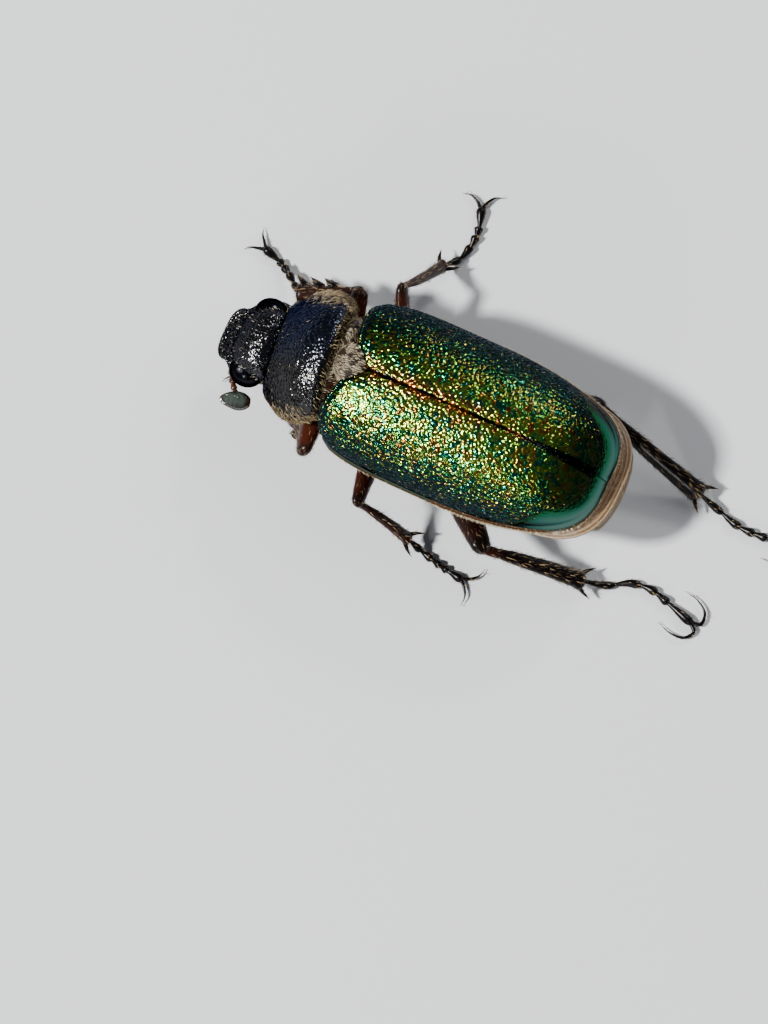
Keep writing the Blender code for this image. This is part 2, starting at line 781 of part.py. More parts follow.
def foot(name, pair, ankle, bends):
    """Five joints in a row, each wider at its far end, and two long curved claws."""
    route = [ankle]
    route += [Vector((x, y, max(z, FOOT_HEIGHT))) for x, y, z in bends]
    lengths = [(b - a).length for a, b in zip(route, route[1:])]
    whole = sum(lengths)

    def at(share):
        left = share * whole
        for a, b, length in zip(route, route[1:], lengths):
            if left <= length:
                return a.lerp(b, left / length)
            left -= length
        return route[-1]

    line, radii = [], []
    joints = [0.0, 0.27, 0.48, 0.62, 0.74, 1.0]
    for near, far in zip(joints, joints[1:]):
        line += [at(near + 0.02), at(near + 0.6 * (far - near)), at(far - 0.03)]
        radii += [FOOT_RADIUS * 0.78, FOOT_RADIUS * 0.95, FOOT_RADIUS * 1.05]
    pieces = [tube(name, line, radii, 1)]
    end = route[-1]
    along = (route[-1] - route[-2]).normalized()
    aside = along.cross(Vector((0, 0, 1))).normalized()
    for side in (1, -1):
        claw = [end - 0.1 * along]
        claw += [end + ahead * along + side * out * aside for ahead, out in CLAWS[pair]]
        claw[-1] -= Vector((0.0, 0.0, 0.08))
        pieces.append(tube(f"{name}_claw_{side}", claw, CLAW_RADII[: len(claw)], 1))
    made = fuse(name, pieces)
    return cut(made, box("floor", (-20, -20, -3), (20, 20, 0)))


def leg(place):
    """Hip, thigh, shin and foot of one leg, each cut clear of the next."""
    pair = place.split("_")[0]
    size = LEG_SIZES[pair]
    hip, knee, ankle = (Vector(LEGS[place][key]) for key in ("hip", "knee", "ankle"))
    bend = (knee - hip).cross(ankle - knee).normalized()
    coxa = ball(f"coxa_{place}", hip + Vector((0, 0, 0.12)), size["coxa"], None, 12, 8)
    thigh = limb(f"femur_{place}", hip, knee, THIGH_SHAPE, size["thigh"], THIGH_FLAT, bend)
    lower = shin(f"tibia_{place}", pair, knee, ankle, bend)
    tarsus = foot(f"tarsus_{place}", pair, ankle, LEGS[place]["foot"])
    cut(lower, swollen(tarsus))
    cut(thigh, swollen(lower))
    cut(coxa, swollen(thigh))
    return {"coxa": coxa, "femur": thigh, "tibia": lower, "tarsus": tarsus}


def split_trunk(body):
    """Breast and abdomen, parted by the clearance."""
    rear = add_object("abdomen", body.data.copy())
    cut(rear, box("front_half", (-4, -3, -1), (4, TRUNK_SPLIT + GAP / 2, 8)))
    cut(body, box("rear_half", (-4, TRUNK_SPLIT - GAP / 2, -1), (4, 10, 8)))
    body.name = "thorax"
    return body, rear


def tail_plate(count=20):
    """The last plate of the back, a shield behind the wing cases that narrows downwards to its tip."""
    rings = []
    for height, wide, rear in TAIL_PLATE:
        ring = []
        for i in range(count):
            angle = 2 * math.pi * (i + 0.5) / count
            across, back = math.cos(angle), math.sin(angle)
            x = wide * math.copysign(abs(across) ** 0.75, across)
            y = rear + TAIL_PLATE_DEPTH / 2 * (math.copysign(abs(back) ** 0.75, back) - 1)
            ring.append((x, y, height))
        rings.append(ring)
    return loft("pygidium", rings)


def mouth():
    """Jaws and lower lip, below the face plate."""
    bends = ((0.5, 1.0, -0.42), (0.52, 1.35, -0.46), (0.3, 1.68, -0.5), (0.08, 1.78, -0.5))
    jaws = []
    for side in (1, -1):
        line = [(side * x, y, z) for x, y, z in bends]
        jaws.append(tube(f"jaw_{side}", line, [0.26, 0.25, 0.19, 0.12]))
    lip = ball("lower_lip", (0.0, 1.2, -0.62), (0.42, 0.5, 0.2), None, 14, 8)
    made = fuse("mouthparts", [lip, *jaws])
    return settle(made, head_place())


def make_materials():
    return {
        "case": shell_material("green_wing_case", (0.16, 0.3, 0.08), 0.3, 0.9),
        "dark": shell_material("blue_black_cuticle", (0.015, 0.02, 0.035), 0.3, 0.2),
        "brown": shell_material("brown_leg_cuticle", (0.1, 0.035, 0.015), 0.35, 0.0),
        "black": shell_material("black_foot_cuticle", (0.012, 0.01, 0.01), 0.25, 0.0),
        "eye": shell_material("black_eye", (0.006, 0.006, 0.007), 0.12, 0.0),
        "belly": shell_material("dark_belly_cuticle", (0.03, 0.022, 0.018), 0.4, 0.0),
    }


def finish(made, material, pivot):
    """Gives a piece its material, and turns it to metres with its own origin at the pivot."""
    origin = Vector(pivot)
    builder = bmesh.new()
    builder.from_mesh(made.data)
    bmesh.ops.dissolve_limit(builder, angle_limit=FLAT_ANGLE, verts=builder.verts, edges=builder.edges)
    builder.to_mesh(made.data)
    builder.free()
    made.data.transform(Matrix.Scale(METRES_PER_MM, 4) @ Matrix.Translation(-origin))
    made.location = origin * METRES_PER_MM
    made.data.materials.clear()
    made.data.materials.append(material)
    made.data.shade_smooth()
    made.data.set_sharp_from_angle(angle=math.radians(40))


def centre_on_origin(parts):
    """Hangs every piece on one empty, moved so that the origin is under the middle of the box."""
    bpy.context.view_layer.update()
    corners = [made.matrix_world @ vert.co for made in parts for vert in made.data.vertices]
    middle_x = (min(c.x for c in corners) + max(c.x for c in corners)) / 2
    middle_y = (min(c.y for c in corners) + max(c.y for c in corners)) / 2
    root = bpy.data.objects.new("beetle_root", None)
    root.location = (-middle_x, -middle_y, 0.0)
    collection = bpy.data.collections.new("rose_chafer")
    bpy.context.scene.collection.children.link(collection)
    collection.objects.link(root)
    for made in parts:
        bpy.context.scene.collection.objects.unlink(made)
        collection.objects.link(made)
        made.parent = root


def main():
    clear_scene()
    paint = make_materials()

    breast, belly = split_trunk(fuse("trunk", [trunk(), collar()]))
    cases = [wing_case(1), wing_case(-1)]
    plate = shield_plate()
    tail = tail_plate()
    shield = neck_shield()
    skull = head()
    eyes = [eye(1), eye(-1)]
    jaws = mouth()
    palps = [palp(1), palp(-1)]
    feelers = [antenna(side) for side in FEELERS]
    legs = {place: leg(place) for place in LEGS}

    cut(tail, both_cases_room())
    make_room(belly, tail)
    make_room(breast, plate)
    for case in cases:
        make_room(case, plate)
    cut(jaws, head_room())
    for feeler in feelers:
        cut(feeler, head_room())
        make_room(feeler, *eyes, shield)
    for feeler in palps:
        cut(feeler, head_room())
        make_room(feeler, jaws)
    cut(shield, head_room())
    make_room(shield, breast)
    make_room(skull, *eyes)
    for pieces in legs.values():
        for body in (breast, belly, shield):
            make_room(body, pieces["coxa"], pieces["femur"], pieces["tibia"])

    finishes = {
        "dark": [plate, tail, shield, skull],
        "belly": [breast, belly],
        "case": cases,
        "eye": eyes,
        "brown": [jaws, *feelers, *palps],
    }
    parts = []
    for colour, pieces in finishes.items():
        for made in pieces:
            finish(made, paint[colour], (0, 0, 0))
            parts.append(made)
    for place, pieces in legs.items():
        finish(pieces["coxa"], paint["belly"], LEGS[place]["hip"])
        finish(pieces["femur"], paint["brown"], LEGS[place]["hip"])
        finish(pieces["tibia"], paint["brown"], LEGS[place]["knee"])
        finish(pieces["tarsus"], paint["black"], LEGS[place]["ankle"])
        parts += pieces.values()
    centre_on_origin(parts)


main()
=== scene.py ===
# Rose chafer beetle at life size, standing still on its six feet.
# Shapes are built in millimetres: head towards -Y, left side towards +X, seam of the wing cases on X = 0,
# floor at Z = 0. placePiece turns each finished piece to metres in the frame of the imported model.

import json
import math
from functools import partial

import bpy
import numpy as np
from mathutils import Matrix, Vector

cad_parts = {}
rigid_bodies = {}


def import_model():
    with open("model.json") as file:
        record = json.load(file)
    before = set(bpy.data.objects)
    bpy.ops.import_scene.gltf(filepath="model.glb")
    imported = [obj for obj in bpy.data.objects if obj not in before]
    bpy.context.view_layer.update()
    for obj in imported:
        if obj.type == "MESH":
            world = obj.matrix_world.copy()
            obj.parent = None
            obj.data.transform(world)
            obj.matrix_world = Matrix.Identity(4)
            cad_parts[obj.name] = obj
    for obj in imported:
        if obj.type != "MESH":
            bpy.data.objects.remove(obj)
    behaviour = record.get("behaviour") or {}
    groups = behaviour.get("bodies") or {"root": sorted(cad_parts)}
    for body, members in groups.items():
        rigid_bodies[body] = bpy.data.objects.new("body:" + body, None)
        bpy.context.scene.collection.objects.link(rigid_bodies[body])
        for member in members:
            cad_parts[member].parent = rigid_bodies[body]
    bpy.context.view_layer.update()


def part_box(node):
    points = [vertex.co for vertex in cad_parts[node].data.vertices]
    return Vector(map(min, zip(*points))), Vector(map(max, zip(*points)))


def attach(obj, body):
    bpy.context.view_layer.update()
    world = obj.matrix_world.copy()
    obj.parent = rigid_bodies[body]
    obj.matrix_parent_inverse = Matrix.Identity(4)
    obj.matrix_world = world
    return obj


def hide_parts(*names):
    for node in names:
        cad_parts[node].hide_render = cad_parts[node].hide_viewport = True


for old in list(bpy.data.objects):
    bpy.data.objects.remove(old)

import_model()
# in the solids the left wing case starts 0.04 mm beside the seam, and the abdomen 3.54 mm behind the origin
seamX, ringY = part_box("elytron_left")[0].x - 0.00004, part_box("abdomen")[0].y - 0.00354
toFrame = Matrix.Translation((seamX, ringY, 0.0)) @ Matrix.Scale(0.001, 4)
print("place of the model in its frame", round(seamX, 6), round(ringY, 6))


# Shared helpers: numbers, meshes, node trees

def unit(vectors):
    vectors = np.asarray(vectors, float)
    return vectors / np.maximum(np.linalg.norm(vectors, axis=-1, keepdims=True), 1e-9)


def ramp(value, low, high):
    # smooth step from 0 at low to 1 at high, also downwards
    share = np.clip((np.asarray(value, float) - low) / (high - low), 0, 1)
    return share * share * (3 - 2 * share)


def bell(value, middle, width):
    return np.exp(-(((value - middle) / width) ** 2))


def signedPower(value, power):
    return np.sign(value) * np.abs(value) ** power


def fullTurn(count):
    # angles spread evenly round a circle
    return 2 * np.pi * (np.arange(count) + 0.5) / count


def alongY(x, y, z):
    # a grid of rings, one at each y
    return np.stack([x, np.broadcast_to(y[:, None], x.shape), z], -1)


def smoothAt(table, where):
    # smooth values between rows of (place, values...)
    rows = np.array(table, float)
    places, values = rows[:, 0], rows[:, 1:]
    where = np.clip(np.atleast_1d(np.asarray(where, float)), places[0], places[-1])
    slopes = np.gradient(values, places, axis=0)
    i = np.clip(np.searchsorted(places, where) - 1, 0, len(places) - 2)
    step = (places[i + 1] - places[i])[:, None]
    t = (where - places[i])[:, None] / step
    first = values[i] * (2 * t**3 - 3 * t**2 + 1) + slopes[i] * step * (t**3 - 2 * t**2 + t)
    return first + values[i + 1] * (3 * t**2 - 2 * t**3) + slopes[i + 1] * step * (t**3 - t**2)


def smoothRoute(points, count):
    # evenly spaced points on a smooth line through the given ones
    points = np.array(points, float)
    lengths = np.r_[0, np.cumsum(np.linalg.norm(np.diff(points, axis=0), axis=1))]
    return smoothAt(np.c_[lengths, points], np.linspace(0, lengths[-1], count))


def sweep(route, halfWidths, flat=1.0, normal=(0, 0, 1), around=24):
    # rings of points round a route; flat thins them along the normal
    route = np.asarray(route, float)
    along = unit(np.gradient(route, axis=0))
    normal = np.asarray(normal, float)
    thin = unit(normal - along * (along @ normal)[:, None])
    side = np.cross(along, thin)
    turn = fullTurn(around)
    wide = np.asarray(halfWidths, float)[:, None, None]
    ring = np.cos(turn)[None, :, None] * side[:, None] + flat * np.sin(turn)[None, :, None] * thin[:, None]
    return route[:, None] + wide * ring


def outline(halfWidth, top, keel, waist, crownPower, keelPower, around):
    # upright closed outlines, an arch over a keel, one for each value of the sizes
    turn = fullTurn(around)
    across, up = np.cos(turn), np.sin(turn)
    power = np.where(up > 0, 2 / crownPower, 2 / keelPower)
    reach = np.where(up > 0, np.subtract.outer(top, 0 * up) - waist[:, None], waist[:, None] - keel[:, None])
    x = halfWidth[:, None] * signedPower(across, power)
    z = waist[:, None] + reach * signedPower(up, power)
    return x, z


def buildMesh(name, grids, tints=None):
    # closed skins from grids of rings, each with a strip of the UV map and a tint from 0 to 1
    points, faces, uvs, tintValues = [], [], [], []
    start = 0
    for number, grid in enumerate(grids):
        rows, cols = grid.shape[:2]
        flatPoints = grid.reshape(-1, 3)
        r, c = np.meshgrid(np.arange(rows - 1), np.arange(cols), indexing="ij")
        after = (c + 1) % cols
        quads = np.stack([r * cols + c, r * cols + after, (r + 1) * cols + after, (r + 1) * cols + c], -1)
        corners = np.stack([c, c + 1, c + 1, c], -1), np.stack([r, r, r + 1, r + 1], -1)
        quads = quads.reshape(-1, 4)
        across = (number + 0.02 + 0.96 * corners[0].reshape(-1, 4) / cols) / len(grids)
        uv = np.stack([across, corners[1].reshape(-1, 4) / (rows - 1)], -1)
        centre = flatPoints.mean(0)
        a, b, d = (flatPoints[quads[:, k]] - centre for k in (0, 1, 2))
        outward = np.sum(a * np.cross(b, d)) > 0
        if not outward:
            quads, uv = quads[:, ::-1], uv[:, ::-1]
        faces += (quads + start).tolist()
        uvs.append(uv.reshape(-1, 2))
        for row in (0, rows - 1):
            cap = [start + row * cols + k for k in range(cols)]
            if outward == (row == 0):
                cap.reverse()
            faces.append(cap)
            uvs.append(np.tile([(number + 0.5) / len(grids), row / (rows - 1)], (cols, 1)))
        points.append(flatPoints)
        tint = np.zeros(rows) if tints is None else np.asarray(tints[number], float)
        tintValues.append(np.repeat(tint, cols) if len(tint) == rows else tint)
        start += len(flatPoints)
    mesh = bpy.data.meshes.new(name)
    mesh.from_pydata(np.concatenate(points).tolist(), [], faces)
    mesh.uv_layers.new(name="rootUv").data.foreach_set("uv", np.concatenate(uvs).ravel())
    mesh.attributes.new("tint", "FLOAT", "POINT").data.foreach_set("value", np.concatenate(tintValues))
    mesh.shade_smooth()
    return mesh


def addObject(name, mesh, material=None):
    made = bpy.data.objects.new(name, mesh)
    bpy.context.scene.collection.objects.link(made)
    if material:
        made.data.materials.append(material)
    return made


def applyModifiers(made):
    bpy.context.view_layer.update()
    graph = bpy.context.evaluated_depsgraph_get()
    final = made.evaluated_get(graph)
    mesh = bpy.data.meshes.new_from_object(final, preserve_all_data_layers=True, depsgraph=graph)
    made.modifiers.clear()
    made.data = mesh
    return made


def placePiece(made, slot, *nodes):
    made.data.transform(toFrame)
    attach(made, "root")
    if nodes:
        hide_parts(*nodes)
    return made


def pointsOf(made):
    co = np.zeros(len(made.data.vertices) * 3, np.float32)
    made.data.vertices.foreach_get("co", co)
    return co.reshape(-1, 3).astype(float)


def storeValues(made, name, values):
    kind = "FLOAT_VECTOR" if np.ndim(values) == 2 else "FLOAT"
    layer = made.data.attributes.get(name) or made.data.attributes.new(name, kind, "POINT")
    layer.data.foreach_set("vector" if kind == "FLOAT_VECTOR" else "value", np.ravel(values).astype(np.float32))


def addNode(tree, kind, settings=None, links=None):
    # one node; a link may name a node for its first output, a setting a hex colour or the stops of a ramp
    node = tree.nodes.new(kind)
    for key, value in (settings or {}).items():
        if key == "stops":
            setStops(node.color_ramp.elements, value)
        elif isinstance(key, str) and hasattr(node, key):
            setattr(node, key, value)
        else:
            node.inputs[key].default_value = socketValue(value)
    for key, source in (links or {}).items():
        tree.links.new(getattr(source, "outputs", [source])[0], node.inputs[key])
    return node


def newGeometryTree(name, inputs):
    # a tree with named inputs, each given by its default value, or by its kind where it has none
    tree = bpy.data.node_groups.new(name, "GeometryNodeTree")
    tree.interface.new_socket("Geometry", in_out="INPUT", socket_type="NodeSocketGeometry")
    for label, default in inputs.items():
        kind = default if isinstance(default, str) else type(default).__name__.title()
        socket = tree.interface.new_socket(label, in_out="INPUT", socket_type="NodeSocket" + kind)
        if kind != default:
            socket.default_value = default
    tree.interface.new_socket("Geometry", in_out="OUTPUT", socket_type="NodeSocketGeometry")
    add = partial(addNode, tree)
    return tree, add, add("NodeGroupInput").outputs, add("NodeGroupOutput")


def useTree(made, tree, values):
    modifier = made.modifiers.new(tree.name, "NODES")
    modifier.node_group = tree
    for item in tree.interface.items_tree:
        if item.in_out == "INPUT" and item.name in values:
            modifier[item.identifier] = values[item.name]
    return modifier


# Materials

def hexColour(code):
    channels = [int(code[i : i + 2], 16) / 255 for i in (1, 3, 5)]
    return (*[c / 12.92 if c <= 0.04045 else ((c + 0.055) / 1.055) ** 2.4 for c in channels], 1.0)


def socketValue(value):
    return hexColour(value) if isinstance(value, str) and value.startswith("#") else value


def newMaterial(name, settings):
    material = bpy.data.materials.new(name)
    material.use_nodes = True
    shader = material.node_tree.nodes["Principled BSDF"]
    for key, value in settings.items():
        shader.inputs[key].default_value = socketValue(value)
    return material, material.node_tree, shader


def setStops(elements, stops):
    while len(elements) < len(stops):
        elements.new(0.5)
    for element, (place, code) in zip(elements, stops):
        element.position = place
        element.color = hexColour(code)


def grainBump(tree, shader, grainMm, strength, distanceMm, cobbled=False):
    # fine relief below the size of the modelled grains: close-set cobbles, or soft unevenness
    add = partial(addNode, tree)
    place = add("ShaderNodeTexCoord").outputs["Object"]
    scale = 1000 / grainMm
    if cobbled:
        kind, settings = "ShaderNodeTexVoronoi", {"feature": "SMOOTH_F1", "Scale": scale, "Smoothness": 0.4}
    else:
        kind, settings = "ShaderNodeTexNoise", {"Scale": scale, "Detail": 2.0, "Roughness": 0.6}
    height = add(kind, settings, {"Vector": place}).outputs[0]
    settings = {"Strength": strength, "Distance": distanceMm * 0.001, "invert": cobbled}
    bump = add("ShaderNodeBump", settings, {"Height": height})
    tree.links.new(bump.outputs["Normal"], shader.inputs["Normal"])
    return height, bump


caseLook = {
    "glints": [  # from the rarest copper grains through gold and green to teal
        (0.0, "#7E4A18"),
        (0.1, "#8C7A2A"),
        (0.36, "#88982E"),
        (0.62, "#508E32"),
        (0.84, "#1A6A3A"),
        (1.0, "#106052"),
    ],
    # side colours: the layers' green to teal, then lighter greys towards grazing, a painted sheen
    "sides": [  # from facing the eye to turned away
        (0.0, "#0C2A1A"),
        (0.25, "#102A26"),
        (0.45, "#182E34"),
        (0.65, "#2E3E48"),
        (0.85, "#5E6A6E"),
        (1.0, "#7E888A"),
    ],
    "dark": "#05080A",
    # smooth margin: a teal of its own, lighter grey-green at the edge and where it turns away, a painted sheen
    "band": [(0.0, "#0C2814"), (0.3, "#0E4A22"), (0.65, "#165240"), (1.0, "#46625A")],
    "seam": "#96561C",
    "rim": ("#34200F", "#3A240E"),
    "edgeTint": "#5A6A78",
    "grainMm": 0.095,
    "grainStrength": 0.3,
    "roughness": 0.18,
    "wax": 0.1,
    "waxRoughness": 0.1,
    "turnAway": (6.5, -0.48),  # how fast the colours of the sides come in, and from where
    "copperGrains": (5.0, -2.6),  # the same for the copper grains beside the seam
    "darkShare": 0.55,
    "bandSheenTurn": 0.35,
    "bandSharpness": 6.0,
}


def structuralGreenChitin():
    # Chitin grown in thin layers, with a trace of wax: it looks like metal, and its colour runs from gold
    # through green to teal as it turns away. The lighter greys on the turned-away sides and along the rear
    # margin are a painted sheen.
    look = caseLook
    settings = {"Roughness": look["roughness"], "Specular Tint": look["edgeTint"]}
    settings |= {"Coat Weight": look["wax"], "Coat Roughness": look["waxRoughness"]}
    material, tree, shader = newMaterial("layered green chitin, granular", settings)
    add = partial(addNode, tree)
    facing = add("ShaderNodeLayerWeight", {"Blend": 0.5}).outputs["Facing"]
    tone, seam, band, dark, rim, grain = [
        add("ShaderNodeAttribute", {"attribute_name": name}).outputs["Fac"]
        for name in ("grainTone", "seamShare", "bandShare", "darkShare", "tint", "grain")
    ]
    scaled = {"operation": "MULTIPLY_ADD", "use_clamp": True}
    colours = {"data_type": "RGBA"}
    glints = add("ShaderNodeValToRGB", {"stops": look["glints"]}, {"Fac": tone})
    # the colours of the sides take over as the surface turns away; their greys are a painted sheen
    sides = add("ShaderNodeValToRGB", {"stops": look["sides"]}, {"Fac": facing})
    slope, start = look["turnAway"]
    aside = add("ShaderNodeMath", {**scaled, 1: slope, 2: start}, {0: facing})
    hue = add("ShaderNodeMix", colours, {0: aside, 6: glints, 7: sides}).outputs[2]
    times = {"operation": "MULTIPLY", "use_clamp": True}
    shaded = add("ShaderNodeMath", {**times, 1: look["darkShare"]}, {0: dark})
    hue = add("ShaderNodeMix", {**colours, 7: look["dark"]}, {0: shaded, 6: hue}).outputs[2]
    slope, start = look["copperGrains"]
    picked = add("ShaderNodeMath", {**scaled, 1: slope, 2: start}, {0: tone})
    copper = add("ShaderNodeMath", {"operation": "MULTIPLY"}, {0: picked, 1: seam})
    hue = add("ShaderNodeMix", {**colours, 7: look["seam"]}, {0: copper, 6: hue}).outputs[2]
    # the margin's colours: partly its own teal, partly a painted sheen that grows where the surface turns away
    turned = {"operation": "MULTIPLY_ADD", 1: look["bandSheenTurn"]}
    bandPlace = add("ShaderNodeMath", turned, {0: facing, 2: band})
    marginHueAndSheen = add("ShaderNodeValToRGB", {"stops": look["band"]}, {"Fac": bandPlace})
    inBand = add("ShaderNodeMath", {**times, 1: look["bandSharpness"]}, {0: band})
    hue = add("ShaderNodeMix", colours, {0: inBand, 6: hue, 7: marginHueAndSheen}).outputs[2]
    first, second = look["rim"]
    rimHue = add("ShaderNodeMix", {**colours, 6: first, 7: second}, {0: band}).outputs[2]
    hue = add("ShaderNodeMix", colours, {0: rim, 6: hue, 7: rimHue}).outputs[2]
    tree.links.new(hue, shader.inputs["Base Color"])
    metal = add("ShaderNodeMath", {"operation": "SUBTRACT", 0: 1.0}, {1: rim})
    tree.links.new(metal.outputs[0], shader.inputs["Metallic"])
    _, bump = grainBump(tree, shader, look["grainMm"], 0.0, look["grainMm"], True)
    amount = add("ShaderNodeMath", {"operation": "MULTIPLY", 1: look["grainStrength"]}, {0: grain})
    tree.links.new(amount.outputs[0], bump.inputs["Strength"])
    return material


def tintedChitin(name, stops, settings, grainMm=0.05, bump=0.3, cobbled=False):
    # Hard cuticle whose colour follows the tint of the piece. Where it looks like metal it keeps the
    # default IOR.
    typical = {} if "Metallic" in settings else {"IOR": 1.56}
    material, tree, shader = newMaterial(name, {**typical, **settings})
    height, _ = grainBump(tree, shader, grainMm, bump, grainMm if cobbled else 0.008, cobbled)
    add = partial(addNode, tree)
    tint = add("ShaderNodeAttribute", {"attribute_name": "tint"}).outputs["Fac"]
    cloud = add("ShaderNodeMath", {"operation": "MULTIPLY_ADD", 1: 0.3, 2: -0.15}, {0: height})
    place = add("ShaderNodeMath", {"operation": "ADD"}, {0: tint, 1: cloud})
    colours = add("ShaderNodeValToRGB", {"stops": stops}, {"Fac": place})
    tree.links.new(colours.outputs["Color"], shader.inputs["Base Color"])
    return material


def hairMaterial(name, stops, roughness=0.45):
    # Grown hair of clear chitin: soft gloss, and each strand has a shade of its own.
    material, tree, shader = newMaterial(name, {"Roughness": roughness, "IOR": 1.55})
    tone = addNode(tree, "ShaderNodeAttribute", {"attribute_name": "strandTone"}).outputs["Fac"]
    colours = addNode(tree, "ShaderNodeValToRGB", {"stops": stops}, {"Fac": tone})
    tree.links.new(colours.outputs["Color"], shader.inputs["Base Color"])
    return material


caseGreen = structuralGreenChitin()
# Dense dark cuticle, pitted: black with a cold blue gloss, and many small sharp glints. Its bluest colour, at
# the lowest tint, is a painted blue sheen.
blueBlack = tintedChitin(
    "blue black chitin, polished and pitted",
    [(0.0, "#363946"), (0.3, "#3F3E3D"), (0.6, "#423D36"), (0.9, "#7A6646"), (1.0, "#9A8660")],
    {"Metallic": 1.0, "Roughness": 0.2, "Specular Tint": "#787E8C"},
    grainMm=0.08,
    cobbled=True,
)
# Rough skin between hair roots: almost no gloss, so the felt above it stays pale.
feltSkin = tintedChitin(
    "dull skin under felt",
    [(0.0, "#0A0705"), (0.5, "#241A10"), (1.0, "#6E5E42")],
    {"Roughness": 0.6, "Specular IOR Level": 0.15},
)
# Soft horn with a wax film: tan and satin, redder along its inner edge.
tanHorn = tintedChitin(
    "tan horny rim of the tail, waxy",
    [(0.0, "#5C2E12"), (0.3, "#54371E"), (0.65, "#664B2E"), (1.0, "#948062")],
    {"Roughness": 0.38},
    bump=0.2,
)
# Smooth leg cuticle with a wax film: deep red brown where it is thin, black where it is thick.
legBrown = tintedChitin(
    "red brown to black chitin, waxy",
    [(0.0, "#321309"), (0.3, "#1E0C07"), (0.6, "#0D0705"), (1.0, "#050404")],
    {"Roughness": 0.28, "IOR": 1.5, "Specular IOR Level": 0.14},
    grainMm=0.06,
    bump=0.25,
)
# Wrinkled cuticle of the underside: dark brown and half dull, tan at its edges.
bellyDark = tintedChitin(
    "dark belly chitin, finely wrinkled",
    [(0.0, "#120C08"), (0.4, "#281A12"), (0.7, "#4E2C18"), (1.0, "#7A6444")],
    {"Roughness": 0.4, "Specular IOR Level": 0.2},
    grainMm=0.06,
    bump=0.5,
)
# Clear lenses over black: a dark, hard gloss broken up by the facets.
eyeBlack = tintedChitin(
    "faceted eye, glossy black",
    [(0.0, "#1E1E22"), (1.0, "#2A2A2E")],
    {"Metallic": 1.0, "Roughness": 0.22, "Specular Tint": "#50545C"},
)
# Thin cuticle of the feelers: brown stalk, and a grey silvery sheen on the leaves of the club, with a painted
# highlight along the middle of each leaf.
feelerBrown = tintedChitin(
    "feeler chitin, brown with a silvery club",
    [(0.0, "#42200F"), (0.4, "#140E0B"), (1.0, "#333A34")],
    {"Roughness": 0.2},
    grainMm=0.13,
    cobbled=True,
)
paleHair = hairMaterial("pale grey hair", [(0.0, "#4E4840"), (0.7, "#8A8272"), (1.0, "#D6CDB8")])
goldHair = hairMaterial("golden tan hair", [(0.0, "#3E301C"), (0.6, "#7A653E"), (1.0, "#CDB78C")])
feltHair = hairMaterial("tan felt of short hair", [(0.0, "#32281A"), (0.4, "#927E5E"), (1.0, "#E4D6B6")])
creamHair = hairMaterial("cream hair of the tail", [(0.0, "#6A5638"), (1.0, "#B8A584")])
bristleStops = [(0.0, "#1C120C"), (0.55, "#3A2818"), (1.0, "#B09468")]
darkBristle = hairMaterial("dark bristle, some pale", bristleStops, 0.35)


# Relief of grains and pits, and coats of hair

def reliefTree(name, creased):
    # creased: close-set grains with sharp creases between them; otherwise separate round pits
    inputs = {"Cell": 0.11, "Height": 0.02, "Reach": 0.5, "Warp": 0.03, "Material": "Material"}
    tree, add, given, result = newGeometryTree(name, inputs)
    scale = add("ShaderNodeMath", {"operation": "DIVIDE", 0: 1.0}, {1: given["Cell"]})
    position = add("GeometryNodeInputPosition")
    noise = add("ShaderNodeTexNoise", {"Detail": 1.0}, {"Vector": position, "Scale": scale}).outputs["Color"]
    centred = add("ShaderNodeVectorMath", {"operation": "SUBTRACT", 1: (0.5, 0.5, 0.5)}, {0: noise})
    warp = add("ShaderNodeVectorMath", {"operation": "SCALE"}, {0: centred, "Scale": given["Warp"]})
    spot = add("ShaderNodeVectorMath", {"operation": "ADD"}, {0: position, 1: warp})
    where = {"Vector": spot, "Scale": scale}
    cells = add("ShaderNodeTexVoronoi", {"feature": "F1"}, where)
    distance = add("ShaderNodeTexVoronoi", {"feature": "DISTANCE_TO_EDGE"}, where) if creased else cells
    share = add("ShaderNodeMapRange", {}, {"Value": distance, "From Max": given["Reach"]})
    away = add("ShaderNodeMath", {"operation": "SUBTRACT", 0: 1.0}, {1: share})
    form = add("ShaderNodeMath", {"operation": "POWER", 1: 2.0}, {0: away})
    if creased:
        form = add("ShaderNodeMath", {"operation": "SUBTRACT", 0: 1.0}, {1: form})
    mask = add("GeometryNodeInputNamedAttribute", {"data_type": "FLOAT", "Name": "grain"})
    masked = add("ShaderNodeMath", {"operation": "MULTIPLY"}, {0: form, 1: mask})
    lift = add("ShaderNodeMath", {"operation": "MULTIPLY"}, {0: masked, 1: given["Height"]})
    normal = add("GeometryNodeInputNormal")
    offset = add("ShaderNodeVectorMath", {"operation": "SCALE"}, {0: normal, "Scale": lift})
    raised = add("GeometryNodeSetPosition", {}, {"Geometry": given["Geometry"], "Offset": offset})
    tone = add("ShaderNodeSeparateXYZ", {}, {0: cells.outputs["Color"]})
    stored = {"data_type": "FLOAT", "domain": "POINT", "Name": "grainTone"}
    kept = add("GeometryNodeStoreNamedAttribute", stored, {"Geometry": raised, "Value": tone})
    real = add("GeometryNodeRealizeInstances", {}, {0: kept})
    painted = add("GeometryNodeSetMaterial", {}, {"Geometry": real, "Material": given["Material"]})
    tree.links.new(painted.outputs[0], result.inputs[0])
    return tree


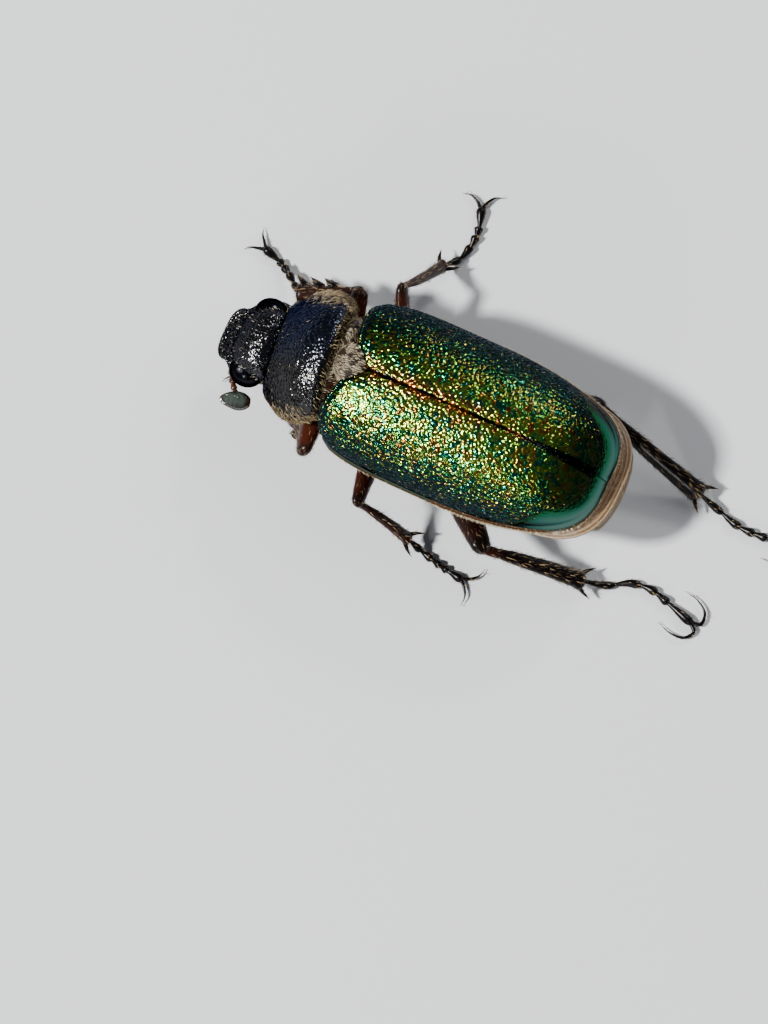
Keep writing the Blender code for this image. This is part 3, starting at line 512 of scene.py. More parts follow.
def coatTree():
    inputs = {"Strand": "Object", "Density": 100.0, "Spread": 0.3, "Tilt": 0.3, "Patch": 0.003, "Seed": 1}
    tree, add, given, result = newGeometryTree("coat of strands", {**inputs, "Material": "Material"})
    seed = {"Seed": given["Seed"]}
    hair, lie, length, rootPlace, strandPlace = [
        add("GeometryNodeInputNamedAttribute", {"data_type": kind, "Name": name})
        for kind, name in (
            ("FLOAT", "hair"),
            ("FLOAT_VECTOR", "lie"),
            ("FLOAT", "hairLength"),
            ("FLOAT_VECTOR", "rootUv"),
            ("FLOAT_VECTOR", "strandUv"),
        )
    ]
    density = add("ShaderNodeMath", {"operation": "MULTIPLY"}, {0: given["Density"], 1: hair})
    skin = {"Mesh": given["Geometry"], "Density": density}
    roots = add("GeometryNodeDistributePointsOnFaces", {}, {**skin, **seed})
    turns = {"Rotation": roots.outputs["Rotation"], "Vector": lie}
    facing = add("FunctionNodeAlignRotationToVector", {"axis": "X", "pivot_axis": "Z"}, turns)
    low = add("ShaderNodeMath", {"operation": "MULTIPLY", 1: -1.0}, {0: given["Tilt"]})
    limits = {0: low, 1: given["Tilt"]}
    jitter = add("FunctionNodeRandomValue", {"data_type": "FLOAT_VECTOR"}, {**limits, **seed})
    turns = {"Rotation": facing, "Rotate By": jitter}
    turned = add("FunctionNodeRotateRotation", {"rotation_space": "LOCAL"}, turns)
    least = add("ShaderNodeMath", {"operation": "SUBTRACT", 0: 1.0}, {1: given["Spread"]})
    size = add("FunctionNodeRandomValue", {"data_type": "FLOAT", 3: 1.0}, {2: least, **seed}).outputs[1]
    scale = add("ShaderNodeMath", {"operation": "MULTIPLY"}, {0: size, 1: length})
    strand = add("GeometryNodeObjectInfo", {}, {"Object": given["Strand"]}).outputs["Geometry"]
    each = {"Points": roots, "Instance": strand, "Rotation": turned, "Scale": scale}
    copies = add("GeometryNodeInstanceOnPoints", {}, each)
    shade = add("FunctionNodeRandomValue", {"data_type": "FLOAT"}, seed).outputs[1]
    stored = {"data_type": "FLOAT", "domain": "INSTANCE", "Name": "strandTone"}
    toned = add("GeometryNodeStoreNamedAttribute", stored, {"Geometry": copies, "Value": shade})
    real = add("GeometryNodeRealizeInstances", {}, {0: toned})
    # each strand is a small patch of the map at its root's place on the skin's own unwrap
    patch = add("ShaderNodeVectorMath", {"operation": "SCALE"}, {0: strandPlace, "Scale": given["Patch"]})
    spot = add("ShaderNodeVectorMath", {"operation": "ADD"}, {0: rootPlace, 1: patch})
    stored = {"data_type": "FLOAT2", "domain": "CORNER", "Name": "OFBake"}
    mapped = add("GeometryNodeStoreNamedAttribute", stored, {"Geometry": real, "Value": spot})
    painted = add("GeometryNodeSetMaterial", {}, {"Geometry": mapped, "Material": given["Material"]})
    tree.links.new(painted.outputs[0], result.inputs[0])
    return tree


grains = reliefTree("close-set grains", True)
pits = reliefTree("separate pits", False)
coats = coatTree()


def addRelief(made, material, sizes, grain=None):
    storeValues(made, "grain", np.ones(len(made.data.vertices)) if grain is None else grain)
    values = {key.title(): size for key, size in sizes.items()}
    values |= {"Warp": 0.5 * sizes["cell"], "Material": material}
    useTree(made, grains if sizes["height"] > 0 else pits, values)
    return applyModifiers(made)


def strandObject(radius, lift):
    # one strand of length 1 that rises from its root and bends over towards +X
    steps = np.linspace(0, 1, 4)
    route = np.c_[steps - 0.12 * steps**2, 0 * steps, lift * steps * (1 - 0.55 * steps) - 0.04]
    rings = sweep(route, radius * (1 - 0.85 * steps**1.5), 1.0, (0, 1, 0), 3)
    mesh = buildMesh("strand", [rings])
    mesh.uv_layers["rootUv"].name = "strandUv"
    mesh.attributes.remove(mesh.attributes["tint"])
    made = addObject("strand", mesh)
    made.hide_render = True
    return made


def addCoat(name, skin, material, slot, kind, hair, lie):
    # strands rooted on a copy of the skin, thick where hair is 1 and lying along lie
    sizes = {**strandShape, **hairSizes[kind]}
    base = addObject(name, skin.data.copy())
    count = len(base.data.vertices)
    storeValues(base, "hair", hair)
    storeValues(base, "lie", np.broadcast_to(lie, (count, 3)))
    storeValues(base, "hairLength", np.full(count, sizes["length"]))
    strand = strandObject(sizes["radius"] / sizes["length"], sizes["lift"])
    values = {"Strand": strand, "Density": sizes["density"], "Spread": sizes["spread"], "Tilt": sizes["tilt"]}
    useTree(base, coats, {**values, "Seed": sizes["seed"], "Material": material})
    applyModifiers(base)
    bpy.data.objects.remove(strand)
    spare = ("rootUv", "strandUv", "hair", "lie", "hairLength", "tint", "grain", "grainTone")
    spare += ("seamShare", "bandShare", "darkShare")
    for layer in spare:
        if layer in base.data.attributes:
            base.data.attributes.remove(base.data.attributes[layer])
    print(name, len(base.data.polygons), "faces")
    return placePiece(base, slot)


# Wing cases

case = {
    "length": 7.35,
    "halfWidth": 2.25,
    "widest": 3.2,
    "crown": 2.05,
    "edgeHeight": 2.7,
    "sag": 0.12,
    "rise": 0.42,
    "roundness": 2.35,
    "front": -0.12,
    "shoulderDrop": 0.09,
    "shoulderReach": 0.27,
    "notch": (0.52, 0.42),
    "thickness": 0.22,
    "seamGap": 0.012,
    "bead": 0.07,
    "smooth": (0.28, 0.36),
    "rows": 400,
    "across": 205,
    "grain": {"cell": 0.125, "height": 0.025, "reach": 0.42},
    # smoother spots on each side: across, back, half width, half length
    "polished": {1: [(0.72, 0.36, 0.2, 0.18), (1.5, 0.3, 0.13, 0.13)], -1: []},
}


def towardsTail(y):
    # 0 ahead of the widest place, 1 at the end of the wing cases
    return np.clip((y - case["widest"]) / (case["length"] - case["widest"]), 0, 1)


def caseHalfWidth(y):
    ahead = (1 - np.maximum(y, case["front"]) / case["widest"]).clip(0)
    front = case["halfWidth"] * (1 - case["shoulderDrop"] * ahead**6)
    return np.where(y < case["widest"], front, case["halfWidth"] * (1 - towardsTail(y) ** 2) ** 0.32)


def caseEdge(y):
    share = np.clip(y, 0, case["length"]) / case["length"]
    return case["edgeHeight"] - case["sag"] * np.sin(np.pi * share) + case["rise"] * share**4


def caseCrown(y):
    front = case["crown"] * (1 - 0.2 * (1 - np.maximum(y, 0) / case["widest"]).clip(0) ** 2.2)
    share = towardsTail(y)
    rear = (case["crown"] - case["rise"] * share**4) * np.sqrt(1 - share**2.4)
    return np.where(y < case["widest"], front, rear)


def frontShift(x, y):
    # the front edge is drawn ahead at the shoulder, and back in a notch beside the seam
    reach = case["shoulderReach"] * np.minimum(ramp(x, 0.15, 1.4), ramp(x, 2.3, 1.6))
    notch = case["notch"][1] * np.clip(1 - x / case["notch"][0], 0, 1)
    return (notch - reach) * (1 - np.clip((y - case["front"]) / 1.1, 0, 1))


def evenly(points, count):
    # the same line with evenly spaced points
    steps = np.r_[0, np.cumsum(np.linalg.norm(np.diff(points, axis=0), axis=1))]
    even = np.linspace(0, steps[-1], count)
    return np.stack([np.interp(even, steps, points[:, k]) for k in range(points.shape[1])], -1)


def caseGrid():
    # rings round the left wing case, even along its ridge: seam, outer arch, rim, inner arch
    fine = case["front"] + (case["length"] - 0.004 - case["front"]) * np.linspace(0, 1, 3000) ** 0.6
    ridge = np.c_[fine, caseCrown(fine) + caseEdge(fine), caseHalfWidth(fine)]
    places = evenly(ridge, case["rows"])[:, 0]
    places = np.r_[case["front"], case["front"] + 0.03, case["front"] + 0.08, places[3:]]
    angles = np.linspace(np.pi / 2, 0, 400)
    power, gap = 2 / case["roundness"], case["seamGap"]
    rings, grain, seam, rim, band, dark = [], [], [], [], [], []
    swing = case["widest"] + (case["length"] - case["widest"]) * np.sin(np.linspace(0, np.pi / 2, 500))
    border = np.c_[caseHalfWidth(swing), swing, caseEdge(swing)]
    for y in places:
        pull = 0.12 * (1 - ramp(y, case["front"] - 0.06, case["front"] + 0.2))
        wide, high, edge = caseHalfWidth(y) - pull, max(float(caseCrown(y)) - pull, 0.02), float(caseEdge(y))
        wide = max(float(wide), gap + 0.03)
        arch = np.c_[np.cos(angles) ** power, np.sin(angles) ** power]
        outer = np.c_[gap + (wide - gap) * arch[:, 0], edge + high * arch[:, 1]]
        outer = evenly(outer, case["across"])
        fromEdge = np.linalg.norm(outer - outer[-1], axis=1)
        fromSeam = outer[:, 0] - gap
        rear = ramp(y, 5.4, 7.0)
        flange = (1 - ramp(fromEdge, 0.0, 0.3)) * (0.03 + 0.07 * rear)
        outer[:, 0] += flange
        outer[:, 1] -= 0.02 * (1 - ramp(fromSeam, 0, 0.1))
        turn = np.linspace(0.2, 1.1, 7) * np.pi
        bead = case["bead"] * min(1.0, wide)
        lip = outer[-1] + np.c_[bead * np.sin(turn), bead * (np.cos(turn) - 1)]
        thick = min(case["thickness"], 0.45 * wide, 0.45 * high)
        innerWide, innerHigh = wide - thick, high - thick
        angle = np.linspace(0, np.pi / 2, 18)
        arch = np.c_[np.cos(angle) ** power, np.sin(angle) ** power]
        inner = np.c_[gap + (innerWide - gap) * arch[:, 0], edge + innerHigh * arch[:, 1]]
        ring = np.concatenate([outer, lip, inner])
        rings.append(np.c_[ring[:, 0], y + frontShift(ring[:, 0], y), ring[:, 1]])
        rest = np.zeros(len(lip) + len(inner))
        # along the sides the margin is measured over the arch, at the rear as seen from above
        flatGap = (outer[:, :1] - border[:, 0]) ** 2 + (y - border[:, 1]) ** 2
        seen = np.sqrt(flatGap).min(1)
        fromRim = np.sqrt(flatGap + (outer[:, 1:] - border[:, 2]) ** 2).min(1)
        tail = ramp(y, 4.8, 6.4)
        margin = fromEdge * (1 - tail) + seen * tail
        smoothBand = case["smooth"][0] * (1 - tail) + case["smooth"][1] * tail
        uneven = margin + 0.03 * tail * np.sin(9 * outer[:, 0] + 5 * y)
        plain = ramp(uneven, smoothBand * 0.55, smoothBand * 1.1)
        # the grains are steepest on the flanks
        steep = 0.8 + 0.85 * ramp(outer[:, 0], 1.1, 1.9)
        amount = plain * ramp(fromSeam, 0.0, 0.05) * (1 - 0.25 * ramp(y, 5.6, 6.8)) * steep
        grain.append(np.r_[amount, rest])
        seam.append(np.r_[(1 - ramp(fromSeam, 0.04, 0.4)) * (1 - ramp(y, 4.2, 5.3)), rest])
        rim.append(np.r_[1 - ramp(fromRim, 0.06, 0.1), np.ones(len(rest))])
        inBand = 0.9 * (1 - margin / smoothBand).clip(0) + (1 - plain) * (0.1 + 0.35 * (1 - tail))
        band.append(np.r_[inBand, rest + tail])
        line = bell(fromSeam, 0, 0.04 + 0.04 * tail)
        dark.append(np.r_[ramp(y, 5.3, 6.5) + 4 * line, rest])
    return [np.array(rings)] + [np.ravel(values) for values in (grain, seam, rim, band, dark)]


def makeWingCases():
    grid, grain, seam, rim, band, dark = caseGrid()
    made = []
    for side, name in ((1, "wingCaseLeft"), (-1, "wingCaseRight")):
        mesh = buildMesh(name, [grid * (side, 1, 1)], [rim])
        piece = addObject(name, mesh)
        for layer, values in (("seamShare", seam), ("bandShare", band), ("darkShare", dark)):
            storeValues(piece, layer, values)
        x, y = grid[..., 0].ravel(), grid[..., 1].ravel()
        polish = sum(
            np.exp(-(((x - acrossTo) / wide) ** 2) - ((y - backTo) / long) ** 2)
            for acrossTo, backTo, wide, long in case["polished"][side]
        )
        addRelief(piece, caseGreen, case["grain"], grain * (1 - 0.88 * polish))
        made.append(piece)
    return made


wingCases = makeWingCases()
print("wing cases", sum(len(piece.data.polygons) for piece in wingCases), "faces")


# Trunk, collar, small shield and tail plate

trunk = {
    "start": -0.26,
    "split": 3.5,
    "end": 7.45,
    "flare": 0.12,
    "rings": 5,
    "groove": 0.07,
    "underside": [(-0.26, 1.8), (0.8, 1.2), (2.8, 1.2), (4.0, 1.4), (6.2, 1.5), (7.6, 2.1)],
    "around": 132,
    "inset": 0.1,  # how far it lies inside the wing cases
    "lipDrop": 0.15,
    "endHeight": 2.6,
    "back": {"from": -0.1, "to": 6.4, "drop": 0.45, "inset": 0.5, "keel": 1.95},
    "collar": [
        (-0.95, 0.8, 3.5, 2.2),
        (-0.85, 1.16, 3.8, 1.9),
        (-0.72, 1.34, 3.92, 1.8),
        (-0.52, 1.34, 3.92, 1.75),
        (-0.42, 1.24, 3.8, 1.75),
        (-0.2, 1.28, 3.73, 1.7),
        (0.3, 1.28, 3.7, 1.7),
    ],
    "grain": {"cell": 0.12, "height": -0.014, "reach": 0.5},
}


def trunkGrid(low, high, count):
    y = np.linspace(low, high, count)
    share = np.clip((y - case["widest"]) / (trunk["end"] + 0.01 - case["widest"]), 0, 1)
    rear = (case["halfWidth"] - trunk["inset"] + trunk["flare"] * share) * (1 - share**2) ** 0.3
    wide = np.where(y < case["widest"], caseHalfWidth(y) - trunk["inset"], rear)
    ringShare = (y - trunk["split"]) / (trunk["end"] - trunk["split"]) * trunk["rings"]
    groove = np.where(y < trunk["split"], 0, trunk["groove"] * bell(ringShare % 1, 0.04, 0.06))
    step = np.where(y < trunk["split"], 0, 0.05 * (ringShare % 1))
    keel = smoothAt(trunk["underside"], y)[:, 0] + groove - step
    lip = caseEdge(y) - trunk["lipDrop"]
    top = lip + ramp(y, 6.6, trunk["end"]) * (trunk["endHeight"] - lip)
    x, z = outline(wide - groove, top, keel, top - 0.16, 3.0, 2.3, trunk["around"])
    return alongY(x, y, z)


def makeTrunk():
    grid = trunkGrid(trunk["start"], trunk["split"] - 0.02, 110)
    keelLine = bell(grid[..., 0], 0, 0.09) * ramp(grid[..., 2], 2.0, 1.6) * ramp(grid[..., 1], 0.9, 1.4)
    grid[..., 2] += 0.05 * keelLine
    sizes = trunk["back"]
    y = np.linspace(sizes["from"], sizes["to"], 40)
    crown = caseEdge(y) + caseCrown(y) - sizes["drop"]
    keel = np.full(len(y), sizes["keel"])
    x, z = outline(caseHalfWidth(y) - sizes["inset"], crown, keel, caseEdge(y), 2.35, 2.2, 48)
    back = alongY(x, y, z)
    y = np.linspace(trunk["collar"][0][0], trunk["collar"][-1][0], 50)
    wide, top, keel = smoothAt(trunk["collar"], y).T
    x, z = outline(wide, top, keel, np.full(len(y), 2.85), 2.3, 2.2, 110)
    collar = alongY(x, y, z)
    shade = 0.3 + 0.2 * np.sin(6 * x + 5 * collar[..., 1]) + 0.4 * bell(x, 1.05, 0.22)
    tints = [np.full(len(grid), 0.3), shade.ravel()]
    breast = addObject("breast", buildMesh("breast", [grid, collar], tints))
    rear = trunkGrid(trunk["split"] + 0.01, trunk["end"], 150)
    side = 0.4 + 0.55 * ramp(rear[..., 2], 2.1, 2.4) * ramp(rear[..., 1], 3.6, 4.6)
    tints = [side.ravel(), np.full(len(back), 0.2)]
    belly = addObject("belly", buildMesh("belly", [rear, back], tints))
    for piece in (breast, belly):
        addRelief(piece, bellyDark, trunk["grain"])
    return breast, belly


breast, belly = makeTrunk()

tailPlate = {
    "rows": [
        (1.5, 0.2, 7.46),
        (1.56, 0.42, 7.58),
        (1.68, 0.64, 7.65),
        (2.0, 0.97, 7.7),
        (2.4, 1.2, 7.66),
        (2.75, 1.22, 7.54),
        (3.05, 1.1, 7.36),
        (3.2, 0.9, 7.2),
    ],
    "depth": 0.62,
    "rim": {
        "from": 5.0,
        "inner": 0.25,
        "sides": 0.05,
        "end": 0.36,
        "thick": 0.07,
        "drop": 0.24,
        "lines": (0.22, 0.62, 0.92),
        "grid": (160, 64),
    },
    "grain": {"cell": 0.1, "height": -0.012, "reach": 0.5},
}


def tailRim():
    # a flat crescent under the end of the wing cases, with fine cream lines along it
    sizes = tailPlate["rim"]
    count, around = sizes["grid"]
    swing = np.linspace(-1, 1, count)
    y = sizes["from"] + (case["length"] - 0.001 - sizes["from"]) * (1 - np.abs(swing) ** 3.2)
    line = np.c_[np.sign(swing) * caseHalfWidth(y), y, 0 * y]
    line[np.abs(swing) < 0.004, 0] = 0
    line = evenly(line, count)
    along = unit(np.gradient(line, axis=0))
    out = np.c_[-along[:, 1], along[:, 0], 0 * y]
    out *= np.sign(np.sum(out * (line - (0, 4.0, 0)), axis=1))[:, None]
    reach = sizes["sides"] + (sizes["end"] - sizes["sides"]) * ramp(line[:, 1], 5.4, 7.2)
    wide = (reach + sizes["inner"]) / 2
    centre = line + out * (reach - wide)[:, None]
    centre[:, 2] = caseEdge(line[:, 1]) - sizes["drop"]
    turn = fullTurn(around)
    across = (np.cos(turn)[None, :] * wide[:, None])[..., None]
    up = (np.sin(turn) * sizes["thick"])[None, :] * np.ones((count, 1))
    up = up - 0.35 * np.maximum(across[..., 0], 0) ** 2
    share = np.broadcast_to(np.cos(turn), (count, around))
    ridge = sum(bell(share, place, 0.05) for place in sizes["lines"]) * (np.sin(turn) > 0)
    grid = centre[:, None] + across * out[:, None]
    grid[..., 2] += up + 0.02 * ridge
    # red brown along the inner edge, then tan with cream lines
    tint = 0.4 * ramp(share, -0.05, 0.1) + 0.2 * share.clip(0) + 0.5 * ridge
    return grid, np.clip(tint, 0, 1).ravel()


def makeTailPlate():
    heights = np.linspace(tailPlate["rows"][0][0], tailPlate["rows"][-1][0], 60)
    sizes = smoothAt(tailPlate["rows"], heights)
    turn = fullTurn(96)
    x = sizes[:, :1] * signedPower(np.cos(turn), 0.9)
    y = sizes[:, 1:] + tailPlate["depth"] / 2 * (signedPower(np.sin(turn), 0.75) - 1)
    grid = np.stack([x, y, np.broadcast_to(heights[:, None], x.shape)], -1)
    # the plate stops short of the wing cases' hollow
    roof = caseEdge(grid[..., 1]) + 0.35
    grid[..., 2] = np.minimum(grid[..., 2], np.where(grid[..., 1] < 7.3, roof, 3.4))
    rim, rimTint = tailRim()
    piece = addObject("tailPlate", buildMesh("tailPlate", [grid, rim], [np.full(len(grid), 0.5), rimTint]))
    # the pits are on the plate alone
    pitted = np.r_[np.ones(grid[..., 0].size), np.zeros(rim[..., 0].size)]
    return addRelief(piece, tanHorn, tailPlate["grain"], pitted)


tail = makeTailPlate()

smallShield = {
    "centre": (0.0, -0.1, 4.12),
    "radii": (0.55, 0.5, 0.24),
    "tilt": 8,
    "grain": {"cell": 0.08, "height": -0.012, "reach": 0.5},
}


def ellipsoid(radii, rows=40, around=48):
    # rings along Y
    angle = np.linspace(0.02, np.pi - 0.02, rows)
    route = np.c_[0 * angle, -np.cos(angle), 0 * angle]
    return sweep(route, np.sin(angle), 1.0, (0, 0, 1), around) * radii


def moved(grid, matrix):
    rotation = np.array(matrix.to_3x3())
    return grid @ rotation.T + np.array(matrix.translation)


def makeSmallShield():
    grid = ellipsoid(smallShield["radii"])
    grid[..., 0] *= 1 - 0.5 * np.clip(grid[..., 1] / smallShield["radii"][1], 0, 1)
    tilt = Matrix.Rotation(math.radians(smallShield["tilt"]), 4, "X")
    place = Matrix.Translation(smallShield["centre"]) @ tilt
    mesh = buildMesh("smallShield", [moved(grid, place)], [np.full(len(grid), 0.3)])
    return addRelief(addObject("smallShield", mesh), feltSkin, smallShield["grain"])


shieldPiece = makeSmallShield()
print("trunk, tail plate and small shield")


# Neck shield

foreBody = {"waist": (0.0, -0.35, 2.9), "neck": (0.0, -2.58, 2.5), "yaw": 2, "shift": 0.12, "pitch": 39}


def foreBodyTurn():
    waist = Vector(foreBody["waist"])
    turn = Matrix.Rotation(math.radians(foreBody["yaw"]), 4, "Z")
    return Matrix.Translation(waist + Vector((foreBody["shift"], 0, 0))) @ turn @ Matrix.Translation(-waist)


neckShield = {
    "rows": [
        (-2.56, 1.04, 2.86, 1.85, 2.25),
        (-2.52, 1.16, 2.96, 1.72, 2.25),
        (-2.44, 1.29, 3.1, 1.62, 2.25),
        (-2.2, 1.5, 3.4, 1.5, 2.35),
        (-1.85, 1.74, 3.74, 1.42, 2.5),
        (-1.45, 1.85, 4.04, 1.42, 2.7),
        (-1.08, 1.79, 4.2, 1.5, 2.85),
        (-0.8, 1.63, 4.19, 1.68, 2.95),
        (-0.72, 1.54, 4.13, 1.8, 2.95),
        (-0.69, 1.42, 4.02, 1.95, 2.95),
    ],
    "middle": (0.0, -1.5, 0.0),
    "shift": 0.05,
    "yaw": 6,
    "count": 120,
    "around": 380,
    "edge": 0.07,
    "lip": 0.035,
    "grain": {"cell": 0.095, "height": -0.024, "reach": 0.6},
}


def neckShieldTurn():
    middle = Vector(neckShield["middle"])
    turn = Matrix.Rotation(math.radians(neckShield["yaw"]), 4, "Z")
    return Matrix.Translation(middle + Vector((neckShield["shift"], 0, 0))) @ turn @ Matrix.Translation(-middle)


def makeNeckShield():
    y = np.linspace(neckShield["rows"][0][0], neckShield["rows"][-1][0], neckShield["count"])
    wide, top, keel, waist = smoothAt(neckShield["rows"], y).T
    x, z = outline(wide, top, keel, waist, 2.1, 2.0, neckShield["around"])
    turn = fullTurn(neckShield["around"])
    x = x + np.sign(np.cos(turn)) * (bell(np.sin(turn), 0, 0.07) * neckShield["edge"])
    z = z + bell(y, -2.46, 0.07)[:, None] * (np.sin(turn) > -0.2) * neckShield["lip"]
    grid = moved(alongY(x, y, z), neckShieldTurn())
    rear = ramp(y, -0.86, -0.74)[:, None]
    side = bell(np.sin(turn), 0, 0.12)[None, :]
    tint = np.clip(0.3 + np.maximum(0.35 * rear, 0.6 * side * np.ones_like(rear)), 0, 1)
    # bluer towards the right, a painted blue sheen
    tint = tint - 0.3 * ramp(-x, -0.9, 0.5) * (tint < 0.4)
    piece = addObject("neckShield", buildMesh("neckShield", [grid], [tint.ravel()]))
    return addRelief(piece, blueBlack, neckShield["grain"])


neckPiece = makeNeckShield()
print("neck shield", len(neckPiece.data.polygons), "faces")


# Head

def headPlace():
    pitch = math.radians(foreBody["pitch"])
    forward = Vector((0, -math.cos(pitch), -math.sin(pitch)))
    brow = Vector((0, -math.sin(pitch), math.cos(pitch)))
    frame = Matrix((Vector((1, 0, 0)), forward, brow)).transposed().to_4x4()
    return foreBodyTurn() @ Matrix.Translation(foreBody["neck"]) @ frame


head = {
    "rows": [
        (-0.35, 0.5, 0.34, -0.4),
        (-0.25, 0.74, 0.5, -0.52),
        (-0.1, 0.9, 0.62, -0.62),
        (0.2, 1.0, 0.71, -0.72),
        (0.6, 0.98, 0.7, -0.72),
        (0.9, 0.86, 0.6, -0.62),
        (1.0, 0.82, 0.545, -0.55),
        (1.15, 0.76, 0.5, -0.45),
        (1.4, 0.73, 0.4, -0.18),
        (1.62, 0.67, 0.33, -0.06),
        (1.7, 0.58, 0.28, 0.0),
    ],
    "faceRim": {"halfWidth": 0.69, "from": 1.18, "reach": 0.5, "height": 0.36, "radius": 0.075},
    "lip": {"radii": (0.42, 0.34, 0.2), "place": (0, 1.4, -0.16)},
    "eyeRidge": [(0.7, 1.12, 0.3), (0.92, 0.98, 0.2), (1.14, 0.82, 0.08)],
    "voxel": 0.03,
    "grain": {"cell": 0.1, "height": 0.02, "reach": 0.4},
}


def fuseGrids(name, gridList, voxel, smooth):
    # several overlapping closed forms as one skin
    made = addObject(name, buildMesh(name, gridList))
    remesh = made.modifiers.new("Fuse", "REMESH")
    remesh.mode = "VOXEL"
    remesh.voxel_size = voxel
    remesh.use_smooth_shade = True
    soft = made.modifiers.new("Soften", "SMOOTH")
    soft.factor = 0.5
    soft.iterations = smooth
    return applyModifiers(made)


def unwrapRound(made, matrix):
    # UV map round the Y axis of the piece's own frame
    local = moved(pointsOf(made), matrix.inverted())
    length = local[:, 1].max() - local[:, 1].min()
    u = np.arctan2(local[:, 0], local[:, 2]) / (2 * np.pi) + 0.5
    v = (local[:, 1] - local[:, 1].min()) / length
    loops = np.zeros(len(made.data.loops), np.int32)
    made.data.loops.foreach_get("vertex_index", loops)
    layer = made.data.uv_layers.get("rootUv") or made.data.uv_layers.new(name="rootUv")
    layer.data.foreach_set("uv", np.stack([u, v], -1)[loops].ravel())
    return local


def makeHead():
    place = headPlace()
    y = np.linspace(head["rows"][0][0], head["rows"][-1][0], 70)
    wide, top, keel = smoothAt(head["rows"], y).T
    x, z = outline(wide, top, keel, (top + keel) / 2, 2.6, 2.4, 120)
    skull = alongY(x, y, z)
    # raised rim of the face plate
    sizes = head["faceRim"]
    angle = np.linspace(0, np.pi, 60)
    x = sizes["halfWidth"] * signedPower(np.cos(angle), 0.6)
    y = sizes["from"] + sizes["reach"] * np.sin(angle) ** 0.7
    rim = sweep(np.c_[x, y, sizes["height"] + 0 * angle], np.full(len(angle), sizes["radius"]), around=16)
    lip = ellipsoid(head["lip"]["radii"]) + head["lip"]["place"]
    parts = [skull, rim, lip]
    for side in (1, -1):
        # ridge that runs from the face plate back over the front of each eye
        ridge = smoothRoute(np.array(head["eyeRidge"]) * (side, 1, 1), 20)
        parts.append(sweep(ridge, np.linspace(0.14, 0.06, 20), 0.6, (0, 0, 1), 14))
    made = fuseGrids("head", [moved(part, place) for part in parts], head["voxel"], 2)
    local = unwrapRound(made, place)
    storeValues(made, "tint", 0.25 + 0.15 * ramp(-local[:, 2], 0.2, 0.5))
    brow = bell(local[:, 1], 1.02, 0.05) * ramp(local[:, 2], 0.2, 0.4)
    grain = 1 - 0.8 * brow - 0.6 * ramp(local[:, 1], 1.5, 1.62)
    return addRelief(made, blueBlack, head["grain"], np.clip(grain, 0, 1)), local


headPiece, headLocal = makeHead()

eyes = {"radius": 0.43, "place": (0.86, 0.6, 0.02), "grain": {"cell": 0.045, "height": 0.006, "reach": 0.4}}


def makeEyes():
    made = []
    for side, name in ((1, "eyeLeft"), (-1, "eyeRight")):
        x, y, z = eyes["place"]
        radii = (eyes["radius"], eyes["radius"] * 1.1, eyes["radius"] * 1.15)
        grid = ellipsoid(radii, 70, 90) + (side * x, y, z)
        piece = addObject(name, buildMesh(name, [moved(grid, headPlace())]))
        made.append(addRelief(piece, eyeBlack, eyes["grain"]))
    return made


eyePieces = makeEyes()

mouth = {
    "lip": {"radii": (0.42, 0.5, 0.17), "place": (0, 1.2, -0.6)},
    "jaw": [
        (0.5, 0.95, -0.4),
        (0.56, 1.2, -0.44),
        (0.5, 1.45, -0.46),
        (0.28, 1.68, -0.48),
        (0.06, 1.76, -0.48),
    ],
    "jawWidths": [0.2, 0.24, 0.2, 0.14, 0.05],
    "palp": [
        (0.5, 0.75, -0.8),
        (0.62, 0.9, -0.95),
        (0.72, 1.15, -1.05),
        (0.72, 1.32, -1.07),
        (0.62, 1.62, -0.98),
    ],
    # each joint: start and end as shares of the route, and its thickness
    "palpJoints": [(0.0, 0.26, 0.8), (0.24, 0.52, 0.9), (0.5, 0.7, 0.85), (0.68, 1.0, 1.0)],
    "palpRadius": 0.115,
}


def jointed(points, joints, radius, taper=0.72):
    # a row of joints along a route, each narrow at its base and round at its end
    route = smoothRoute(points, 200)
    grids = []
    for start, end, size in joints:
        share = np.linspace(0, 1, 16)
        place = (start + (end - start) * share) * (len(route) - 1)
        spots = np.stack([np.interp(place, np.arange(len(route)), route[:, k]) for k in range(3)], -1)
        roundEnd = np.sqrt(np.clip(1 - ((share - 0.75) / 0.26).clip(0) ** 2, 0.01, 1))
        form = (taper + (1 - taper) * ramp(share, 0, 0.8)) * roundEnd
        form *= ramp(share, -0.25, 0.12)
        grids.append(sweep(spots, radius * size * form, around=20))
    return grids


def makeMouth():
    place = headPlace()
    lip = ellipsoid(mouth["lip"]["radii"]) + mouth["lip"]["place"]
    grids, palps = [lip], {}
    for side, name in ((1, "left"), (-1, "right")):
        flip = np.array((side, 1, 1))
        widths = smoothAt(np.c_[np.linspace(0, 1, 5), mouth["jawWidths"]], np.linspace(0, 1, 30))[:, 0]
        grids.append(sweep(smoothRoute(np.array(mouth["jaw"]) * flip, 30), widths, 0.7, (0, 0, 1), 24))
        palp = jointed(np.array(mouth["palp"]) * flip, mouth["palpJoints"], mouth["palpRadius"])
        palps[name] = [moved(grid, place) for grid in palp]
    tints = [np.full(len(grid), 0.7) for grid in grids]
    mesh = buildMesh("mouthparts", [moved(grid, place) for grid in grids], tints)
    pieces = [addObject("mouthparts", mesh, blueBlack)]
    for name, grids in palps.items():
        mesh = buildMesh(f"palp_{name}", grids, [np.full(len(grid), 0.1) for grid in grids])
        pieces.append(addObject(f"palp{name.title()}", mesh, feelerBrown))
    return pieces


mouthPieces = makeMouth()

